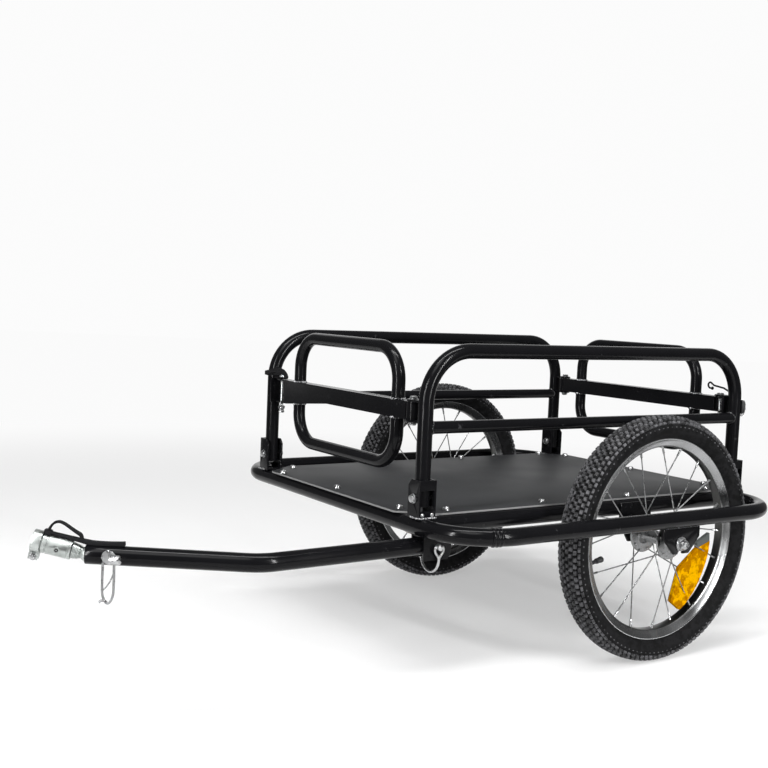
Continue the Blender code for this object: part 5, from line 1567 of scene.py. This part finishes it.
# %% Paper
def seen_level(tree, low, high):
    """A level that is high for what the camera, reflections and glass see, and low as a light."""
    paths = tree.nodes.new("ShaderNodeLightPath")
    seen = paths.outputs["Is Camera Ray"]
    for ray in ("Is Glossy Ray", "Is Transmission Ray"):
        either = tree.nodes.new("ShaderNodeMath")
        either.operation = "MAXIMUM"
        tree.links.new(seen, either.inputs[0])
        tree.links.new(paths.outputs[ray], either.inputs[1])
        seen = either.outputs[0]
    level = tree.nodes.new("ShaderNodeMapRange")
    level.inputs["To Min"].default_value, level.inputs["To Max"].default_value = low, high
    tree.links.new(seen, level.inputs["Value"])
    return level.outputs[0]


PAPER_LIT = 0.40
floor_finish = Finish("pale_floor", (0.95, 0.95, 0.95), 0.95)
floor_finish.set(**{"Specular IOR Level": 0.0})
tone = Amount(floor_finish, seen_level(floor_finish.tree, PAPER_LIT, 0.96))
x, y, _ = floor_finish.axes()
away = floor_finish.node("Math", {"operation": "SQRT"}, {0: x * x + y * y})
glow = floor_finish.node("Emission", sockets={"Color": (1, 1, 1, 1), "Strength": tone})
floor_finish.set(**{"Base Color": floor_finish.mix((0, 0, 0), (1, 1, 1), tone)})
faded = floor_finish.node("MixShader", sockets={
    0: floor_finish.band(away, 1.2, 3.0, 0.40, 1.0), 1: Amount(floor_finish, floor_finish.shader.outputs[0]), 2: glow})
floor_finish.tree.links.new(faded.socket, floor_finish.tree.nodes["Material Output"].inputs["Surface"])
wall_finish = Finish("pale_wall", (0.95, 0.95, 0.95), 0.95)
tone = Amount(wall_finish, seen_level(wall_finish.tree, PAPER_LIT, 0.97))
glow = wall_finish.node("Emission", sockets={"Color": (1, 1, 1, 1), "Strength": tone})
wall_finish.tree.links.new(glow.socket, wall_finish.tree.nodes["Material Output"].inputs["Surface"])
forward = Vector((AHEAD.x, AHEAD.y, 0)).normalized()
sideways = forward.cross(Z)


def paper(name, finish, *edges):
    """A flat sheet between two level edges, each given by its reach from the camera, half width and height."""
    foot = Vector((viewpoint.matrix_world.translation.x, viewpoint.matrix_world.translation.y, 0))
    corners = [foot + forward * reach + sideways * side * half + Z * height
               for (reach, half, height), ends in zip(edges, ((-1, 1), (1, -1))) for side in ends]
    mesh = bpy.data.meshes.new(name)
    mesh.from_pydata([tuple(c) for c in corners], [], [(0, 1, 2, 3)])
    mesh.materials.append(finish.material)
    sheet = bpy.data.objects.new(name, mesh)
    bpy.context.scene.collection.objects.link(sheet)
    sheet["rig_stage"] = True


paper("floor", floor_finish, (0.6, 0.75, 0.0), (14.0, 7.0, 0.0))
paper("wall", wall_finish, (13.9, 7.0, -0.01), (13.9, 7.0, 9.0))
print("paper faces", [round(v, 3) for v in forward])

# %% [markdown]
# The world is dim. A soft sun gives the plain level, and three narrow strips of light draw the long
# highlights that show the tubes to be round.

# %% World and lamps
world = bpy.data.worlds.new("studio")
bpy.context.scene.world = world
world.use_nodes = True
sky = world.node_tree.nodes["Background"]
sky.inputs["Color"].default_value = (1, 1, 1, 1)
sky.inputs["Strength"].default_value = 0.18


def lamp(name, kind, place, aim, **settings):
    """A lamp at a place that shines towards another."""
    data = bpy.data.lights.new(name, kind)
    for key, value in settings.items():
        setattr(data, key, value)
    light = bpy.data.objects.new(name, data)
    light.matrix_world = at(place, Vector(place) - Vector(aim))
    bpy.context.scene.collection.objects.link(light)


lamp("sun", "SUN", (1.5, 1.2, 3.0), (0, 0, 0.2), energy=0.80, angle=math.radians(30))
for name, place, power in (("front_strip", (2.37, 0.79, 1.0), 50), ("side_strip", (-0.45, 2.40, 1.15), 52)):
    lamp(name, "AREA", place, (0, 0, 0.4), energy=power, shape="RECTANGLE", size=0.09, size_y=1.8)
lamp("top_strip", "AREA", (0.2, 0.5, 2.4), (0, 0, 0.3), energy=36, shape="RECTANGLE", size=2.0, size_y=0.24)
bpy.context.scene.view_settings.view_transform = "Standard"

# %% [markdown]
# ## Sizes at the end
# The dressed trailer should fill the same box as the solids. Both boxes are printed.

# %% Box sizes
size["visual"] = [list(corner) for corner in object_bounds()]
for label, (low, high) in size.items():
    print(label, [round((b - a) * 1000, 1) for a, b in zip(low, high)], "mm")
